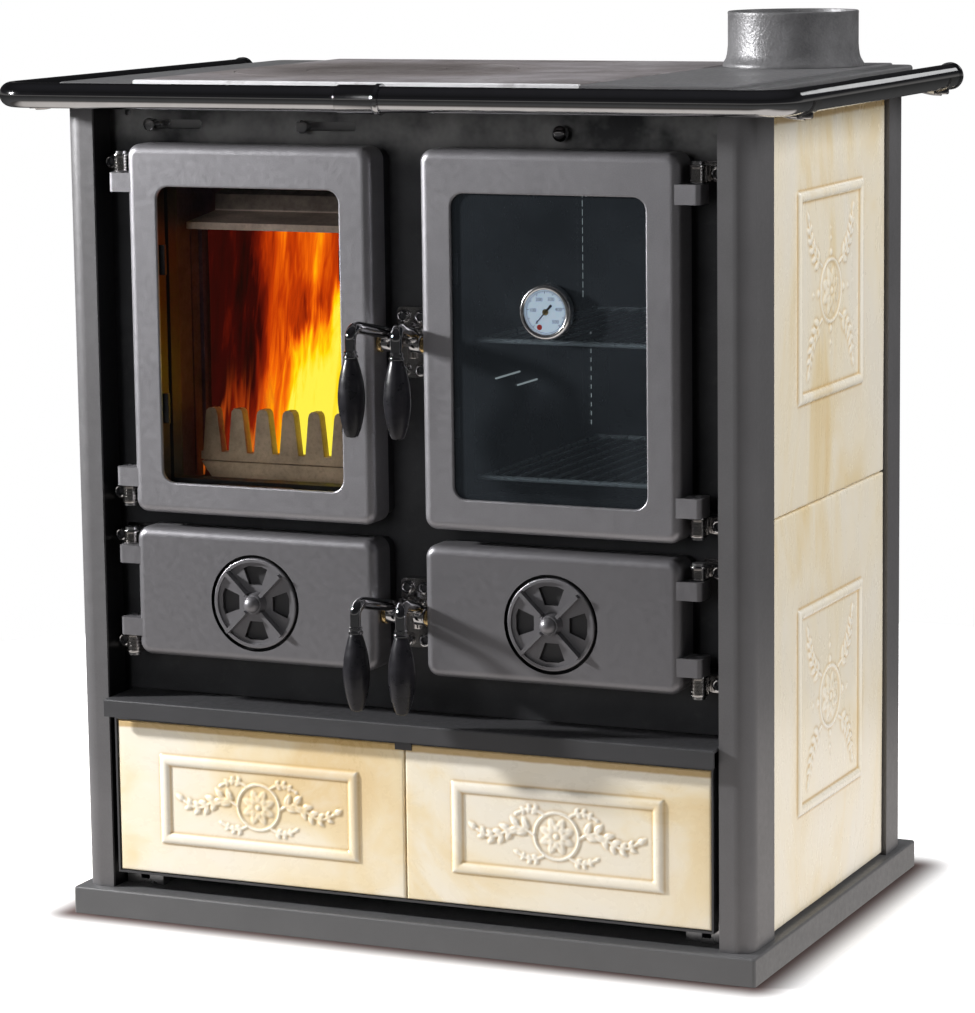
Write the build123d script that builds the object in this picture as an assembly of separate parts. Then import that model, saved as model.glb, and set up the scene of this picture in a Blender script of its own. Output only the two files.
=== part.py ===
from build123d import *
import math
import os

os.makedirs("parts", exist_ok=True)

# Wood cookstove: firebox and oven side by side, ash and clean-out doors below,
# a wood drawer at the bottom, a cast hob with a lift-out ring and lid, a flue
# collar and a chrome rail. Millimetres; origin at the centre of the plinth's
# underside; front faces -Y; +Z up.

# ---------------------------------------------------------------- dimensions
PLINTH_W, PLINTH_D, PLINTH_H = 750.0, 500.0, 28.0
SIDE_X = 367.0            # outer face of the corner posts
POST_IN = 334.0           # inner edge of the corner posts
POST_FRONT, POST_BACK = -238.0, 230.0
FRONT_DEPTH, REAR_DEPTH = 65.0, 55.0
POST_R, POST_T = 18.0, 3.0
POST_TOP = 830.0
TILE_T, TILE_FACE = 10.0, 364.0
TILE_Y0, TILE_Y1 = -170.0, 170.0
TILE_JOINT = 440.0
BEAD = 11.0               # width of the raised frame on the tiles

PANEL_Y = -186.0          # front face of the black front panel
PANEL_T = 3.0
DOOR_FRONT, DOOR_BACK = -240.0, -206.0
DOOR_IN, DOOR_OUT = 26.5, 296.0      # free edge and hinge edge, from the middle
DOOR_CX = (DOOR_IN + DOOR_OUT) / 2
UP_Z0, UP_Z1 = 424.0, 796.0
LO_Z0, LO_Z1 = 277.0, 409.0
WIN_W, WIN_Z0, WIN_Z1, WIN_R = 202.0, 456.0, 754.0, 13.0
OPEN_X0, OPEN_X1 = 57.0, 270.0       # clear openings behind the doors
UP_OPEN_Z0, UP_OPEN_Z1 = 455.0, 765.0
LO_OPEN_Z0, LO_OPEN_Z1 = 305.0, 382.0
SEAT_FRONT = -202.4       # front of the cast seats the doors close on

HINGE_X, HINGE_Y = 309.0, -224.0
PIN_R, BORE_R = 4.0, 4.05
# each hinge: (ear z0, ear z1, knuckle z0, knuckle z1)
HINGES = [
    (748.0, 767.0, 767.5, 785.0),
    (450.0, 469.0, 431.0, 449.5),
    (370.5, 388.5, 389.0, 402.5),
    (296.0, 314.0, 276.0, 295.5),
]

LATCH_Y = -223.0
LATCH_UP_Z, LATCH_LO_Z = 605.0, 334.0
LATCH_PIN_R, LATCH_BORE_R = 5.0, 5.05

DAMPER_Z = 338.0
DAMPER_R, RECESS_R = 46.0, 49.3

SILL_TOP, SILL_LIP = 229.0, 18.0
DRAWER_X = 328.0
DRAWER_Z0, DRAWER_Z1 = 45.0, 208.5

HOB_X, HOB_Y0, HOB_Y1 = 372.0, -246.0, 248.0
HOB_Z0, HOB_Z1 = 832.0, 857.0
PLATE_X0, PLATE_X1 = -284.0, 198.0
PLATE_Z0, PLATE_TOP = 846.0, 860.0
RING_C = (-128.0, -6.0)
RING_R, LID_R = 147.0, 72.0
COLLAR_C = (271.5, 150.0)
COLLAR_R, COLLAR_BORE, COLLAR_TOP = 67.0, 65.3, 916.0

RAIL_X, RAIL_Y, RAIL_Z, RAIL_R = 412.0, -286.0, 846.0, 12.5
RAIL_BACK, RAIL_BEND = 234.0, 34.0


# ------------------------------------------------------------------- helpers
def bx(x0, x1, y0, y1, z0, z1):
    return Pos((x0 + x1) / 2, (y0 + y1) / 2, (z0 + z1) / 2) * Box(
        abs(x1 - x0), abs(y1 - y0), abs(z1 - z0))


def cyl_x(x0, x1, y, z, r):
    return Pos((x0 + x1) / 2, y, z) * Rot(0, 90, 0) * Cylinder(r, abs(x1 - x0))


def cyl_y(y0, y1, x, z, r):
    return Pos(x, (y0 + y1) / 2, z) * Rot(90, 0, 0) * Cylinder(r, abs(y1 - y0))


def cyl_z(z0, z1, x, y, r):
    return Pos(x, y, (z0 + z1) / 2) * Cylinder(r, abs(z1 - z0))


def cone_y(y0, y1, x, z, r0, r1):
    # radius r0 at y0 and r1 at y1, with y0 < y1
    return Pos(x, (y0 + y1) / 2, z) * Rot(90, 0, 0) * Cone(r1, r0, y1 - y0)


def rounded_y(x0, x1, z0, z1, y0, y1, r):
    # box with its four edges along Y rounded
    b = bx(x0, x1, y0, y1, z0, z1)
    return fillet(b.edges().filter_by(Axis.Y), r)


def rounded_z(x0, x1, y0, y1, z0, z1, r):
    b = bx(x0, x1, y0, y1, z0, z1)
    return fillet(b.edges().filter_by(Axis.Z), r)


def flip(shape):
    return mirror(shape, about=Plane.YZ)


def one(shape):
    # one plain solid out of a boolean result
    s = shape.solids()
    assert len(s) == 1, len(s)
    return s[0]


nodes = {}


def put(name, *shapes):
    solids = []
    for s in shapes:
        solids += list(s.solids())
    nodes[name] = Compound(children=solids)


# ------------------------------------------------------------ plinth and case
plinth = bx(-PLINTH_W / 2, PLINTH_W / 2, -PLINTH_D / 2, PLINTH_D / 2, 0, PLINTH_H)
plinth = fillet(plinth.edges().filter_by(Axis.Z), 3)
plinth = fillet(plinth.faces().sort_by(Axis.Z)[-1].edges(), 2.5)
plinth -= bx(-PLINTH_W / 2 + 4, PLINTH_W / 2 - 4, -PLINTH_D / 2 + 4, -16, -1, PLINTH_H - 4)
plinth -= bx(-PLINTH_W / 2 + 4, PLINTH_W / 2 - 4, 16, PLINTH_D / 2 - 4, -1, PLINTH_H - 4)
put("plinth", one(plinth))


def post(front):
    # bent sheet corner, open towards the inside, one big rounded outer corner
    y0, y1 = (POST_FRONT, POST_FRONT + FRONT_DEPTH) if front else (POST_BACK - REAR_DEPTH, POST_BACK)
    yo = y0 if front else y1
    outer = bx(POST_IN, SIDE_X, y0, y1, PLINTH_H + 0.2, POST_TOP)
    e = outer.edges().filter_by(Axis.Z).sort_by_distance((SIDE_X, yo, 400))[0]
    outer = fillet(e, POST_R)
    sgn = 1 if front else -1
    inner = bx(POST_IN - 20, SIDE_X - POST_T, *sorted((yo + sgn * POST_T, yo + sgn * 80)), 0, 900)
    e = inner.edges().filter_by(Axis.Z).sort_by_distance((SIDE_X - POST_T, yo + sgn * POST_T, 400))[0]
    inner = fillet(e, POST_R - POST_T)
    shell = outer - inner
    # returns at both ends of the bend, so that the sheet is stiff
    if front:
        shell += bx(POST_IN, POST_IN + 2.5, y0, y0 + 36, PLINTH_H + 0.2, POST_TOP)
        shell += bx(SIDE_X - 13.4, SIDE_X, y1 - 2.5, y1, PLINTH_H + 0.2, POST_TOP)
    else:
        shell += bx(POST_IN, POST_IN + 2.5, y1 - 20, y1, PLINTH_H + 0.2, POST_TOP)
        shell += bx(SIDE_X - 13.4, SIDE_X, y0, y0 + 2.5, PLINTH_H + 0.2, POST_TOP)
    return one(shell)


pf, pr = post(True), post(False)
put("corner_posts", pf, pr, flip(pf), flip(pr))

side_panel = bx(351, 353, -197, 205, PLINTH_H + 0.5, POST_TOP - 1)
put("side_panels", side_panel, flip(side_panel))
put("back_panel", bx(-333, 333, 223, 225, PLINTH_H + 0.5, POST_TOP - 1))


def side_tile(z0, z1, zc):
    # glazed slab with a raised picture-frame moulding
    slab = bx(TILE_FACE - TILE_T, TILE_FACE, TILE_Y0, TILE_Y1, z0, z1)
    slab = chamfer(slab.faces().sort_by(Axis.X)[-1].edges(), 1.2)
    yc = (TILE_Y0 + TILE_Y1) / 2
    hw, hh = 98.5, 104.5
    ring = bx(TILE_FACE - 1, TILE_FACE + 3.0, yc - hw, yc + hw, zc - hh, zc + hh)
    ring -= bx(TILE_FACE - 2, TILE_FACE + 4, yc - hw + BEAD, yc + hw - BEAD, zc - hh + BEAD, zc + hh - BEAD)
    return one(slab + ring)


# the upper tile is as tall as the lower one, trimmed under the hob
t_low = side_tile(PLINTH_H + 3.5, TILE_JOINT - 0.8, 235.5)
t_up = side_tile(TILE_JOINT + 0.8, POST_TOP - 1.5, 646.0)
put("side_tiles", t_low, t_up, flip(t_low), flip(t_up))

# --------------------------------------------------------------- front panel
panel = bx(-350, 350, PANEL_Y, PANEL_Y + PANEL_T, SILL_TOP + 0.5, POST_TOP - 0.5)
for s in (-1, 1):
    panel -= bx(*sorted((s * OPEN_X0, s * OPEN_X1)), -200, -170, UP_OPEN_Z0, UP_OPEN_Z1)
    panel -= bx(*sorted((s * OPEN_X0, s * OPEN_X1)), -200, -170, LO_OPEN_Z0, LO_OPEN_Z1)
SLIDER_Z, SLIDER_TRAVEL = 813.0, 45.0
SLIDERS = {"left": -290.0, "right": -118.0}
for x in SLIDERS.values():
    slot = rounded_y(x - 5.5, x + 6 + SLIDER_TRAVEL + 2, SLIDER_Z - 4.6, SLIDER_Z + 4.6, -200, -170, 4.5)
    panel -= slot
ROD_X, ROD_Z, ROD_R = 158.0, 810.0, 4.0
panel -= cyl_y(-200, -170, ROD_X, ROD_Z, ROD_R + 0.5)
put("front_panel", one(panel))


def seat(z0, z1, oz0, oz1):
    # raised cast seat round an opening, that the door's rope closes on
    s = rounded_y(DOOR_IN + 4, DOOR_OUT - 4, z0 + 4, z1 - 4, SEAT_FRONT, PANEL_Y - 0.2, 9)
    s -= bx(OPEN_X0, OPEN_X1, -210, -180, oz0, oz1)
    return one(s)


su = seat(UP_Z0, UP_Z1, UP_OPEN_Z0, UP_OPEN_Z1)
sl = seat(LO_Z0, LO_Z1, LO_OPEN_Z0, LO_OPEN_Z1)
put("upper_door_seats", su, flip(su))
put("lower_door_seats", sl, flip(sl))

# shelf under the doors, with its turned-down front lip
shelf = bx(-333, 333, -250, -186, SILL_TOP - 3, SILL_TOP)
shelf += bx(-333, 333, -250, -247, SILL_TOP - SILL_LIP, SILL_TOP)
shelf = fillet(shelf.edges().filter_by(Axis.X).sort_by_distance((0, -250, SILL_TOP))[0], 2)
shelf += bx(-349.5, 349.5, -186, 204, SILL_TOP - 3, SILL_TOP)
shelf += bx(-333, 333, 200, 222, SILL_TOP - 3, SILL_TOP)
put("sill_shelf", one(shelf))

# ------------------------------------------------------- hinges and keepers
brackets, pins, screws = [], [], []
for (e0, e1, k0, k1) in HINGES:
    k = cyl_z(k0, k1, HINGE_X, HINGE_Y, 8.0)
    k += bx(HINGE_X - 7, HINGE_X + 8, HINGE_Y, PANEL_Y - 0.2, k0, k1)
    k += bx(HINGE_X - 7, 332.5, -190.5, PANEL_Y - 0.2, k0 - 1.5, k1 + 1.5)
    # block beside the barrel that takes the screw
    k += bx(HINGE_X + 7.5, 332.5, -211.0, PANEL_Y - 0.2, k0, k1)
    k -= cyl_z(k0 - 5, k1 + 5, HINGE_X, HINGE_Y, BORE_R)
    k = one(k)
    up = k0 > e0
    p0, p1 = (e0 + 1, k1 + 3) if up else (k0 - 3, e1 - 1)
    p = cyl_z(p0, p1, HINGE_X, HINGE_Y, PIN_R)
    # pin head beyond the knuckle
    p += cyl_z(k1 + 0.4, k1 + 3, HINGE_X, HINGE_Y, 6.5) if up else cyl_z(k0 - 3, k0 - 0.4, HINGE_X, HINGE_Y, 6.5)
    p = one(p)
    zc = (k0 + k1) / 2
    h = cyl_y(-217.0, -211.1, 325.8, zc, 6.4)
    h = fillet(h.faces().sort_by(Axis.Y)[0].edges(), 1.6)
    h -= extrude(Plane(origin=(325.8, -217.5, zc), z_dir=(0, 1, 0)) * RegularPolygon(3.4, 6), 4)
    h = one(h)
    brackets += [k, flip(k)]
    pins += [p, flip(p)]
    screws += [h, flip(h)]
put("hinge_brackets", *brackets)
put("hinge_pins", *pins)

keepers = []
for zp in (LATCH_UP_Z, LATCH_LO_Z):
    keepers.append(one(rounded_y(-17, 17, zp - 37, zp + 33, -200, PANEL_Y - 0.2, 5)))
    for s in (-1, 1):
        # catch bars that the latch tongues lie under
        keepers.append(bx(*sorted((s * 9, s * 16.5)), -211, -200, zp + 8.0, zp + 14.0))
    for s in (-1, 1):
        for z in (zp + 24, zp - 29):
            h = cyl_y(-205.0, -200.1, s * 9.5, z, 6.5)
            h = fillet(h.faces().sort_by(Axis.Y)[0].edges(), 2.0)
            h -= extrude(Plane(origin=(s * 9.5, -205.5, z), z_dir=(0, 1, 0)) * RegularPolygon(3.0, 6), 4)
            screws.append(one(h))
put("latch_keepers", *keepers)
put("front_screws", *screws)


# ---------------------------------------------------------------------- doors
def ears(z_pairs):
    out = []
    for z0, z1 in z_pairs:
        # square lug, flush with the door's front, its outer edges rounded
        e = bx(DOOR_OUT - 14, HINGE_X + 8, -239.0, -211.0, z0, z1)
        e = fillet(e.edges().filter_by(Axis.Z).sort_by(Axis.X)[-2:], 5)
        out.append(e)
    return out


def door_blank(z0, z1):
    d = rounded_y(DOOR_IN, DOOR_OUT, z0, z1, DOOR_FRONT, DOOR_BACK, 13)
    d = fillet(d.faces().sort_by(Axis.Y)[0].edges(), 9)
    return d


def finish_door(d, hinges, latch_z):
    for e in ears([(h[0], h[1]) for h in hinges]):
        d += e
    for h in hinges:
        d -= cyl_z(h[0] - 5, h[1] + 5, HINGE_X, HINGE_Y, BORE_R)
    d -= cyl_x(DOOR_IN - 5, DOOR_IN + 17, LATCH_Y, latch_z, LATCH_BORE_R)
    return one(d)


ROPE_IN = 5.0
ROPE_W = 8.0


def rope(z0, z1, y0, y1, w=ROPE_W, inset=ROPE_IN):
    a = rounded_y(DOOR_IN + inset, DOOR_OUT - inset, z0 + inset, z1 - inset, y0, y1, 10)
    b = rounded_y(DOOR_IN + inset + w, DOOR_OUT - inset - w, z0 + inset + w, z1 - inset - w, y0 - 1, y1 + 1, 4)
    return one(a - b)


def upper_door():
    d = door_blank(UP_Z0, UP_Z1)
    x0, x1 = DOOR_CX - WIN_W / 2, DOOR_CX + WIN_W / 2
    d -= rounded_y(x0, x1, WIN_Z0, WIN_Z1, DOOR_FRONT - 5, DOOR_BACK + 5, WIN_R)
    rim = [e for e in d.edges() if abs(e.center().Y - DOOR_FRONT) < 0.01
           and x0 - 1 < e.center().X < x1 + 1 and WIN_Z0 - 1 < e.center().Z < WIN_Z1 + 1]
    d = fillet(rim, 2.0)
    # rebate for the pane
    d -= bx(x0 - 9.5, x1 + 9.5, -236.5, DOOR_BACK + 5, WIN_Z0 - 9.5, WIN_Z1 + 9.5)
    # groove for the rope
    d -= rope(UP_Z0, UP_Z1, -210.0, DOOR_BACK + 5, ROPE_W + 0.4, ROPE_IN - 0.2)
    return finish_door(d, HINGES[:2], LATCH_UP_Z)


def lower_door():
    d = door_blank(LO_Z0, LO_Z1)
    # hollow back
    d -= rounded_y(DOOR_IN + 18, DOOR_OUT - 18, LO_Z0 + 15, LO_Z1 - 15, -224.0, DOOR_BACK + 5, 8)
    # round recess for the air disc, with four air holes on the diagonals
    d -= cyl_y(DOOR_FRONT - 5, -232.0, DOOR_CX, DAMPER_Z, RECESS_R)
    for k in range(4):
        d -= sector(45 + 90 * k, 21.0, 38.0, 19.0, -240, -215)
    d -= cyl_y(-245, -215, DOOR_CX, DAMPER_Z, 5.05)
    return finish_door(d, HINGES[2:], LATCH_LO_Z)


def sector(angle, r0, r1, half, y0, y1):
    # ring-sector block about the disc's axis, half-angle in degrees
    a0, a1 = math.radians(angle - half), math.radians(angle + half)
    pts = [(r0 * math.cos(a0), r0 * math.sin(a0)), (r1 * math.cos(a0), r1 * math.sin(a0)),
           (r1 / math.cos((a1 - a0) / 4) * math.cos(a0 + (a1 - a0) / 4), r1 / math.cos((a1 - a0) / 4) * math.sin(a0 + (a1 - a0) / 4)),
           (r1 / math.cos((a1 - a0) / 4) * math.cos(a1 - (a1 - a0) / 4), r1 / math.cos((a1 - a0) / 4) * math.sin(a1 - (a1 - a0) / 4)),
           (r1 * math.cos(a1), r1 * math.sin(a1)), (r0 * math.cos(a1), r0 * math.sin(a1))]
    face = make_face(Polyline(*[(x, 0, z) for x, z in pts], close=True))
    solid = extrude(face, amount=y1 - y0, dir=(0, 1, 0))
    return Pos(DOOR_CX, y0, DAMPER_Z) * solid


def damper():
    # air disc: flat wheel with four openings, four diagonal fins and a knob
    d = cyl_y(-240.5, -233.0, DOOR_CX, DAMPER_Z, DAMPER_R)
    d = fillet(d.faces().sort_by(Axis.Y)[0].edges(), 1.5)
    d -= cyl_y(-241, -237.5, DOOR_CX, DAMPER_Z, 42.0)
    for k in range(4):
        d -= sector(90 * k, 20.0, 37.5, 21.0, -245, -230)
    for k in range(4):
        fin = Pos(DOOR_CX, 0, DAMPER_Z) * Rot(0, 45 + 90 * k, 0) * bx(12, 43, -246.5, -236.5, -1.9, 1.9)
        d += fin
    d += cone_y(-246.0, -236.5, DOOR_CX, DAMPER_Z, 9.5, 12.5)
    d += Pos(DOOR_CX, -246.0, DAMPER_Z) * Sphere(8.5)
    # spindle through the door and its nut behind
    d += cyl_y(-236, -212, DOOR_CX, DAMPER_Z, 5.0)
    d = one(d)
    nut = extrude(Plane(origin=(DOOR_CX, -223.6, DAMPER_Z), z_dir=(0, 1, 0)) * RegularPolygon(9, 6), 7)
    nut -= cyl_y(-225, -214, DOOR_CX, DAMPER_Z, 5.02)
    return d, one(nut)


ud, ld = upper_door(), lower_door()
put("firebox_door", flip(ud))
put("oven_door", ud)
put("ash_door", flip(ld))
put("cleanout_door", ld)

seal = rope(UP_Z0, UP_Z1, -209.8, -202.9)
put("firebox_door_seal", flip(seal))
put("oven_door_seal", seal)

gx0, gx1 = DOOR_CX - WIN_W / 2 - 9, DOOR_CX + WIN_W / 2 + 9
pane = rounded_y(gx0, gx1, WIN_Z0 - 9, WIN_Z1 + 9, -236.2, -232.2, 3)
THERMO = (DOOR_CX, 643.0)
put("firebox_glass", flip(pane))
put("oven_glass", one(pane - cyl_y(-245, -200, THERMO[0], THERMO[1], 5.5)))


def clips():
    zc = (WIN_Z0 + WIN_Z1) / 2
    out = []
    for x0, x1, z0, z1 in ((gx0, gx0 + 13, zc - 90, zc - 60), (gx0, gx0 + 13, zc + 60, zc + 90),
                           (gx1 - 13, gx1, zc - 90, zc - 60), (gx1 - 13, gx1, zc + 60, zc + 90),
                           (DOOR_CX - 40, DOOR_CX + 40, WIN_Z0 - 9, WIN_Z0 - 0.5),
                           (DOOR_CX - 40, DOOR_CX + 40, WIN_Z1 + 0.5, WIN_Z1 + 9)):
        out.append(bx(x0, x1, -232.1, -228.5, z0, z1))
    return out


cl = clips()
put("firebox_glass_clips", *[flip(c) for c in cl])
put("oven_glass_clips", *cl)

dm, nut = damper()
put("ash_damper", flip(dm), flip(nut))
put("cleanout_damper", dm, nut)

# ------------------------------------------------------------ thermometer
tx, tz = THERMO
case = cyl_y(-250.0, -236.4, tx, tz, 27.0)
case = fillet(case.faces().sort_by(Axis.Y)[0].edges(), 2.5)
case -= cyl_y(-251, -241.0, tx, tz, 23.6)
case += cyl_y(-236.5, -186.0, tx, tz, 3.5)
case += cyl_y(-242.0, -241.0, tx, tz, 4.0)
lens = cyl_y(-248.6, -246.8, tx, tz, 23.5)
put("thermometer_case", one(case), lens)
needle = cyl_y(-245.6, -242.6, tx, tz, 2.6)
a = math.radians(228)
tip, tail, side = 19.0, -8.0, 1.1
ux, uz = math.cos(a), math.sin(a)
vx, vz = -uz, ux
pts = [(tail * ux + 1.6 * vx, tail * uz + 1.6 * vz), (tail * ux - 1.6 * vx, tail * uz - 1.6 * vz),
       (tip * ux - 0.4 * vx, tip * uz - 0.4 * vz), (tip * ux + 0.4 * vx, tip * uz + 0.4 * vz)]
face = make_face(Polyline(*[(x, 0, z) for x, z in pts], close=True))
needle += Pos(tx, -244.6, tz) * extrude(face, amount=0.8, dir=(0, 1, 0))
put("thermometer_needle", one(needle))


# ------------------------------------------------------------------ latches
def latch(zp):
    # lever: hub and pivot pin along X, tongue behind, arm forward to the elbow
    lev = cyl_x(9, 21, LATCH_Y, zp, 9.0)
    lev += cyl_x(20, DOOR_IN + 15.5, LATCH_Y, zp, LATCH_PIN_R)
    lev += bx(10, 16, LATCH_Y, -203.5, zp - 5, zp + 5.6)
    with BuildLine() as path:
        FilletPolyline((14, LATCH_Y, zp), (14, LATCH_Y - 8, zp + 10), (24.5, -290, zp + 23), (24.5, -290, zp - 8), radius=10)
    start = Plane(origin=path.line @ 0, z_dir=path.line % 0)
    arm = sweep(start * Circle(5.8), path=path.line)
    lev += arm
    lev += cyl_z(zp - 8, zp - 4.5, 24.5, -290, 7.2)
    grip_top = zp - 8.4
    prof = [(0, 0), (6.4, 0), (7.4, -3), (9.6, -13), (12.4, -25), (13.7, -38.5), (13.3, -51.5), (11.9, -61), (10, -67.5), (7.0, -74), (4.8, -77), (0, -77)]
    with BuildSketch(Plane.XZ) as sk:
        with BuildLine():
            Line(prof[0], prof[1])
            Spline(*prof[1:-1])
            Line(prof[-2], prof[-1])
            Line(prof[-1], prof[0])
        make_face()
    grip = revolve(sk.sketch, Axis.Z)
    grip = Pos(24.5, -290, grip_top) * grip
    return one(lev), one(grip)


for name, zp, left in (("firebox", LATCH_UP_Z, True), ("oven", LATCH_UP_Z, False),
                       ("ash", LATCH_LO_Z, True), ("cleanout", LATCH_LO_Z, False)):
    lv, gr = latch(zp)
    put(name + "_latch_lever", flip(lv) if left else lv)
    put(name + "_latch_grip", flip(gr) if left else gr)

# ------------------------------------------------------- air sliders, bypass
for name, x in SLIDERS.items():
    p = bx(x - 34, x + 64, -182.4, -180.4, SLIDER_Z - 11, SLIDER_Z + 11)
    p += cyl_y(-192, -181, x, SLIDER_Z, 3.0)
    p += cone_y(-201, -188, x, SLIDER_Z, 6.2, 3.6)
    put("air_slider_" + name, one(p))

rod = cyl_y(-196, 150, ROD_X, ROD_Z, ROD_R)
rod += Pos(ROD_X, -197, ROD_Z) * Sphere(8.0)
rod += cyl_y(-190.5, -187.5, ROD_X, ROD_Z, 6.0)
rod += bx(ROD_X - 55, ROD_X + 55, 60, 200, ROD_Z - 6.5, ROD_Z - 3.0)
put("bypass_rod", one(rod))

# ------------------------------------------------------------------ firebox
FB_X0, FB_X1, FB_Y0, FB_Y1 = -290.0, -40.0, -177.0, 120.0
FB_Z0, FB_Z1 = 442.0, 826.0


def liner_side(x0, x1, xin, inward):
    # smooth side brick with two upright joints and a cast strip where its front part ends
    s = bx(x0, x1, FB_Y0, FB_Y1, FB_Z0, FB_Z1)
    for y in (-119.0, -20.0):
        a, b = sorted((xin - inward * 3.0, xin + inward * 2.0))
        s -= bx(a, b, y - 1.5, y + 1.5, FB_Z0 - 2, 704)
    a, b = sorted((xin - inward * 2.0, xin + inward * 4.0))
    s += bx(a, b, -102, -95, FB_Z0, 704)
    return one(s)


def liner_back():
    s = bx(FB_X0 - 14, FB_X1 + 14, FB_Y1 + 0.5, FB_Y1 + 16, FB_Z0, FB_Z1)
    for i in range(7):
        x = FB_X0 + 20 + i * 35
        s += bx(x - 9, x + 9, FB_Y1 - 5, FB_Y1 + 2, FB_Z0 + 10, 716)
    return one(s)


put("firebox_liners", liner_side(FB_X0 - 14, FB_X0, FB_X0, 1), liner_side(FB_X1, FB_X1 + 14, FB_X1, -1), liner_back())

# baffle: a sloping front plate, a riser, and a plate that rises to the back
pts = [(-140, 710), (-77, 717), (-77, 734), (60, 762), (60, 754), (-70, 727.4), (-70, 711), (-140, 703)]
face = make_face(Polyline(*[(0, y, z) for y, z in pts], close=True))
baffle = Pos(FB_X0 + 7, 0, 0) * extrude(face, amount=(FB_X1 - FB_X0) - 14, dir=(1, 0, 0))
put("firebox_baffle", one(baffle))

hearth = bx(FB_X0 - 14, FB_X1 + 14, -182, FB_Y1 + 16, 428, 441.5)
GR_X0, GR_X1, GR_Y0, GR_Y1 = -255.0, -75.0, -130.0, 80.0
hearth -= bx(GR_X0, GR_X1, GR_Y0, GR_Y1, 420, 450)
hearth += bx(GR_X0 - 1, GR_X1 + 1, GR_Y0 - 1, GR_Y0 + 6, 428, 432)
hearth += bx(GR_X0 - 1, GR_X1 + 1, GR_Y1 - 6, GR_Y1 + 1, 428, 432)
put("hearth_plate", one(hearth))

grate = bx(GR_X0 + 0.5, GR_X1 - 0.5, GR_Y0 + 0.5, GR_Y1 - 0.5, 432.2, 442)
nslot = 9
for i in range(nslot):
    x = GR_X0 + 18 + i * 18
    grate -= bx(x - 4, x + 4, GR_Y0 + 14, -32, 420, 450)
    grate -= bx(x - 4, x + 4, -18, GR_Y1 - 14, 420, 450)
put("grate", one(grate))

# log guard: a foot, a bar and a row of upright tapered teeth, cast in one
guard = bx(FB_X0 + 9, FB_X1 - 9, -124, -112, 462.6, 471)
guard += bx(FB_X0 + 9, FB_X1 - 9, -119, -112, 455, 463)
foot = make_face(Polyline((FB_X0 + 10, -126, 461.2), (FB_X1 - 10, -126, 461.2), (FB_X1 - 24, -126, 442.4), (FB_X0 + 24, -126, 442.4), close=True))
guard += extrude(foot, amount=14, dir=(0, 1, 0))
pitch, gx = 29.6, -267.7
while gx < FB_X1 - 18:
    face = make_face(Polyline((gx - 10.8, -124, 470), (gx + 10.8, -124, 470), (gx + 6.6, -124, 511), (gx + 5.6, -124, 514.5), (gx + 3, -124, 516.8),
                              (gx - 3, -124, 516.8), (gx - 5.6, -124, 514.5), (gx - 6.6, -124, 511), close=True))
    guard += extrude(face, amount=12, dir=(0, 1, 0))
    gx += pitch
put("log_guard", one(guard))

# ash pan, open on top
AP = (-264.0, -64.0, -176.0, 96.0, 307.0, 372.0)
pan = bx(*AP)
pan -= bx(AP[0] + 2, AP[1] - 2, AP[2] + 2, AP[3] - 2, AP[4] + 2, AP[5] + 5)
# its bail handle, folded against the front
pan += cyl_x(-196, -132, -181.5, 352, 3.0)
pan += cyl_y(-181.5, -175, -196, 352, 3.0)
pan += cyl_y(-181.5, -175, -132, 352, 3.0)
put("ash_pan", one(pan))

# --------------------------------------------------------------------- oven
OV = (46.0, 281.0, -182.5, 190.0, 440.0, 780.0)
OV_T = 2.5
oven = bx(*OV)
oven -= bx(OV[0] + OV_T, OV[1] - OV_T, OV[2] - 5, OV[3] - OV_T, OV[4] + OV_T, OV[5] - OV_T)
RACK_ZS = (466.0, 603.0)
for z in RACK_ZS:
    oven += bx(OV[0] + OV_T - 0.5, OV[0] + OV_T + 7, -170, 150, z - 6, z - 3)
    oven += bx(OV[1] - OV_T - 7, OV[1] - OV_T + 0.5, -170, 150, z - 6, z - 3)
put("oven_liner", one(oven))


def rack(z):
    x0, x1, y0, y1 = OV[0] + OV_T + 2, OV[1] - OV_T - 2, -160.0, 142.0
    r = cyl_x(x0, x1, y0, z, 2.6) + cyl_x(x0, x1, y1, z, 2.6)
    r += cyl_y(y0, y1, x0 + 4.0, z, 2.1) + cyl_y(y0, y1, x1 - 4.0, z, 2.1)
    n = 12
    for i in range(1, n):
        x = x0 + (x1 - x0) * i / n
        r += cyl_y(y0, y1, x, z, 1.6)
    return one(r)


put("oven_racks", *[rack(z) for z in RACK_ZS])

# -------------------------------------------------------------------- drawer
dfront = bx(-DRAWER_X, DRAWER_X, -237.2, -223.0, DRAWER_Z0, DRAWER_Z1)
dfront -= bx(-DRAWER_X + 2, DRAWER_X - 2, -240, -225.0, DRAWER_Z0 + 2, DRAWER_Z1 - 2)
# clip over the joint between the two tiles
dfront += bx(-9, 9, -238.6, -236.8, DRAWER_Z1 - 8, DRAWER_Z1)
dfront += bx(-9, 9, -238.6, -235, DRAWER_Z1 - 2, DRAWER_Z1)
put("drawer_front", one(dfront))


def drawer_tile():
    t = bx(0.8, DRAWER_X - 2.6, -236.2, -225.4, DRAWER_Z0 + 2.6, DRAWER_Z1 - 2.6)
    t = chamfer(t.faces().sort_by(Axis.Y)[0].edges(), 1.0)
    zc = (DRAWER_Z0 + DRAWER_Z1) / 2
    ring = bx(51.5, 276.5, -239.2, -235.5, zc - 46.5, zc + 46.5)
    ring -= bx(51.5 + BEAD, 276.5 - BEAD, -241, -230, zc - 46.5 + BEAD, zc + 46.5 - BEAD)
    return one(t + ring)


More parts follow.
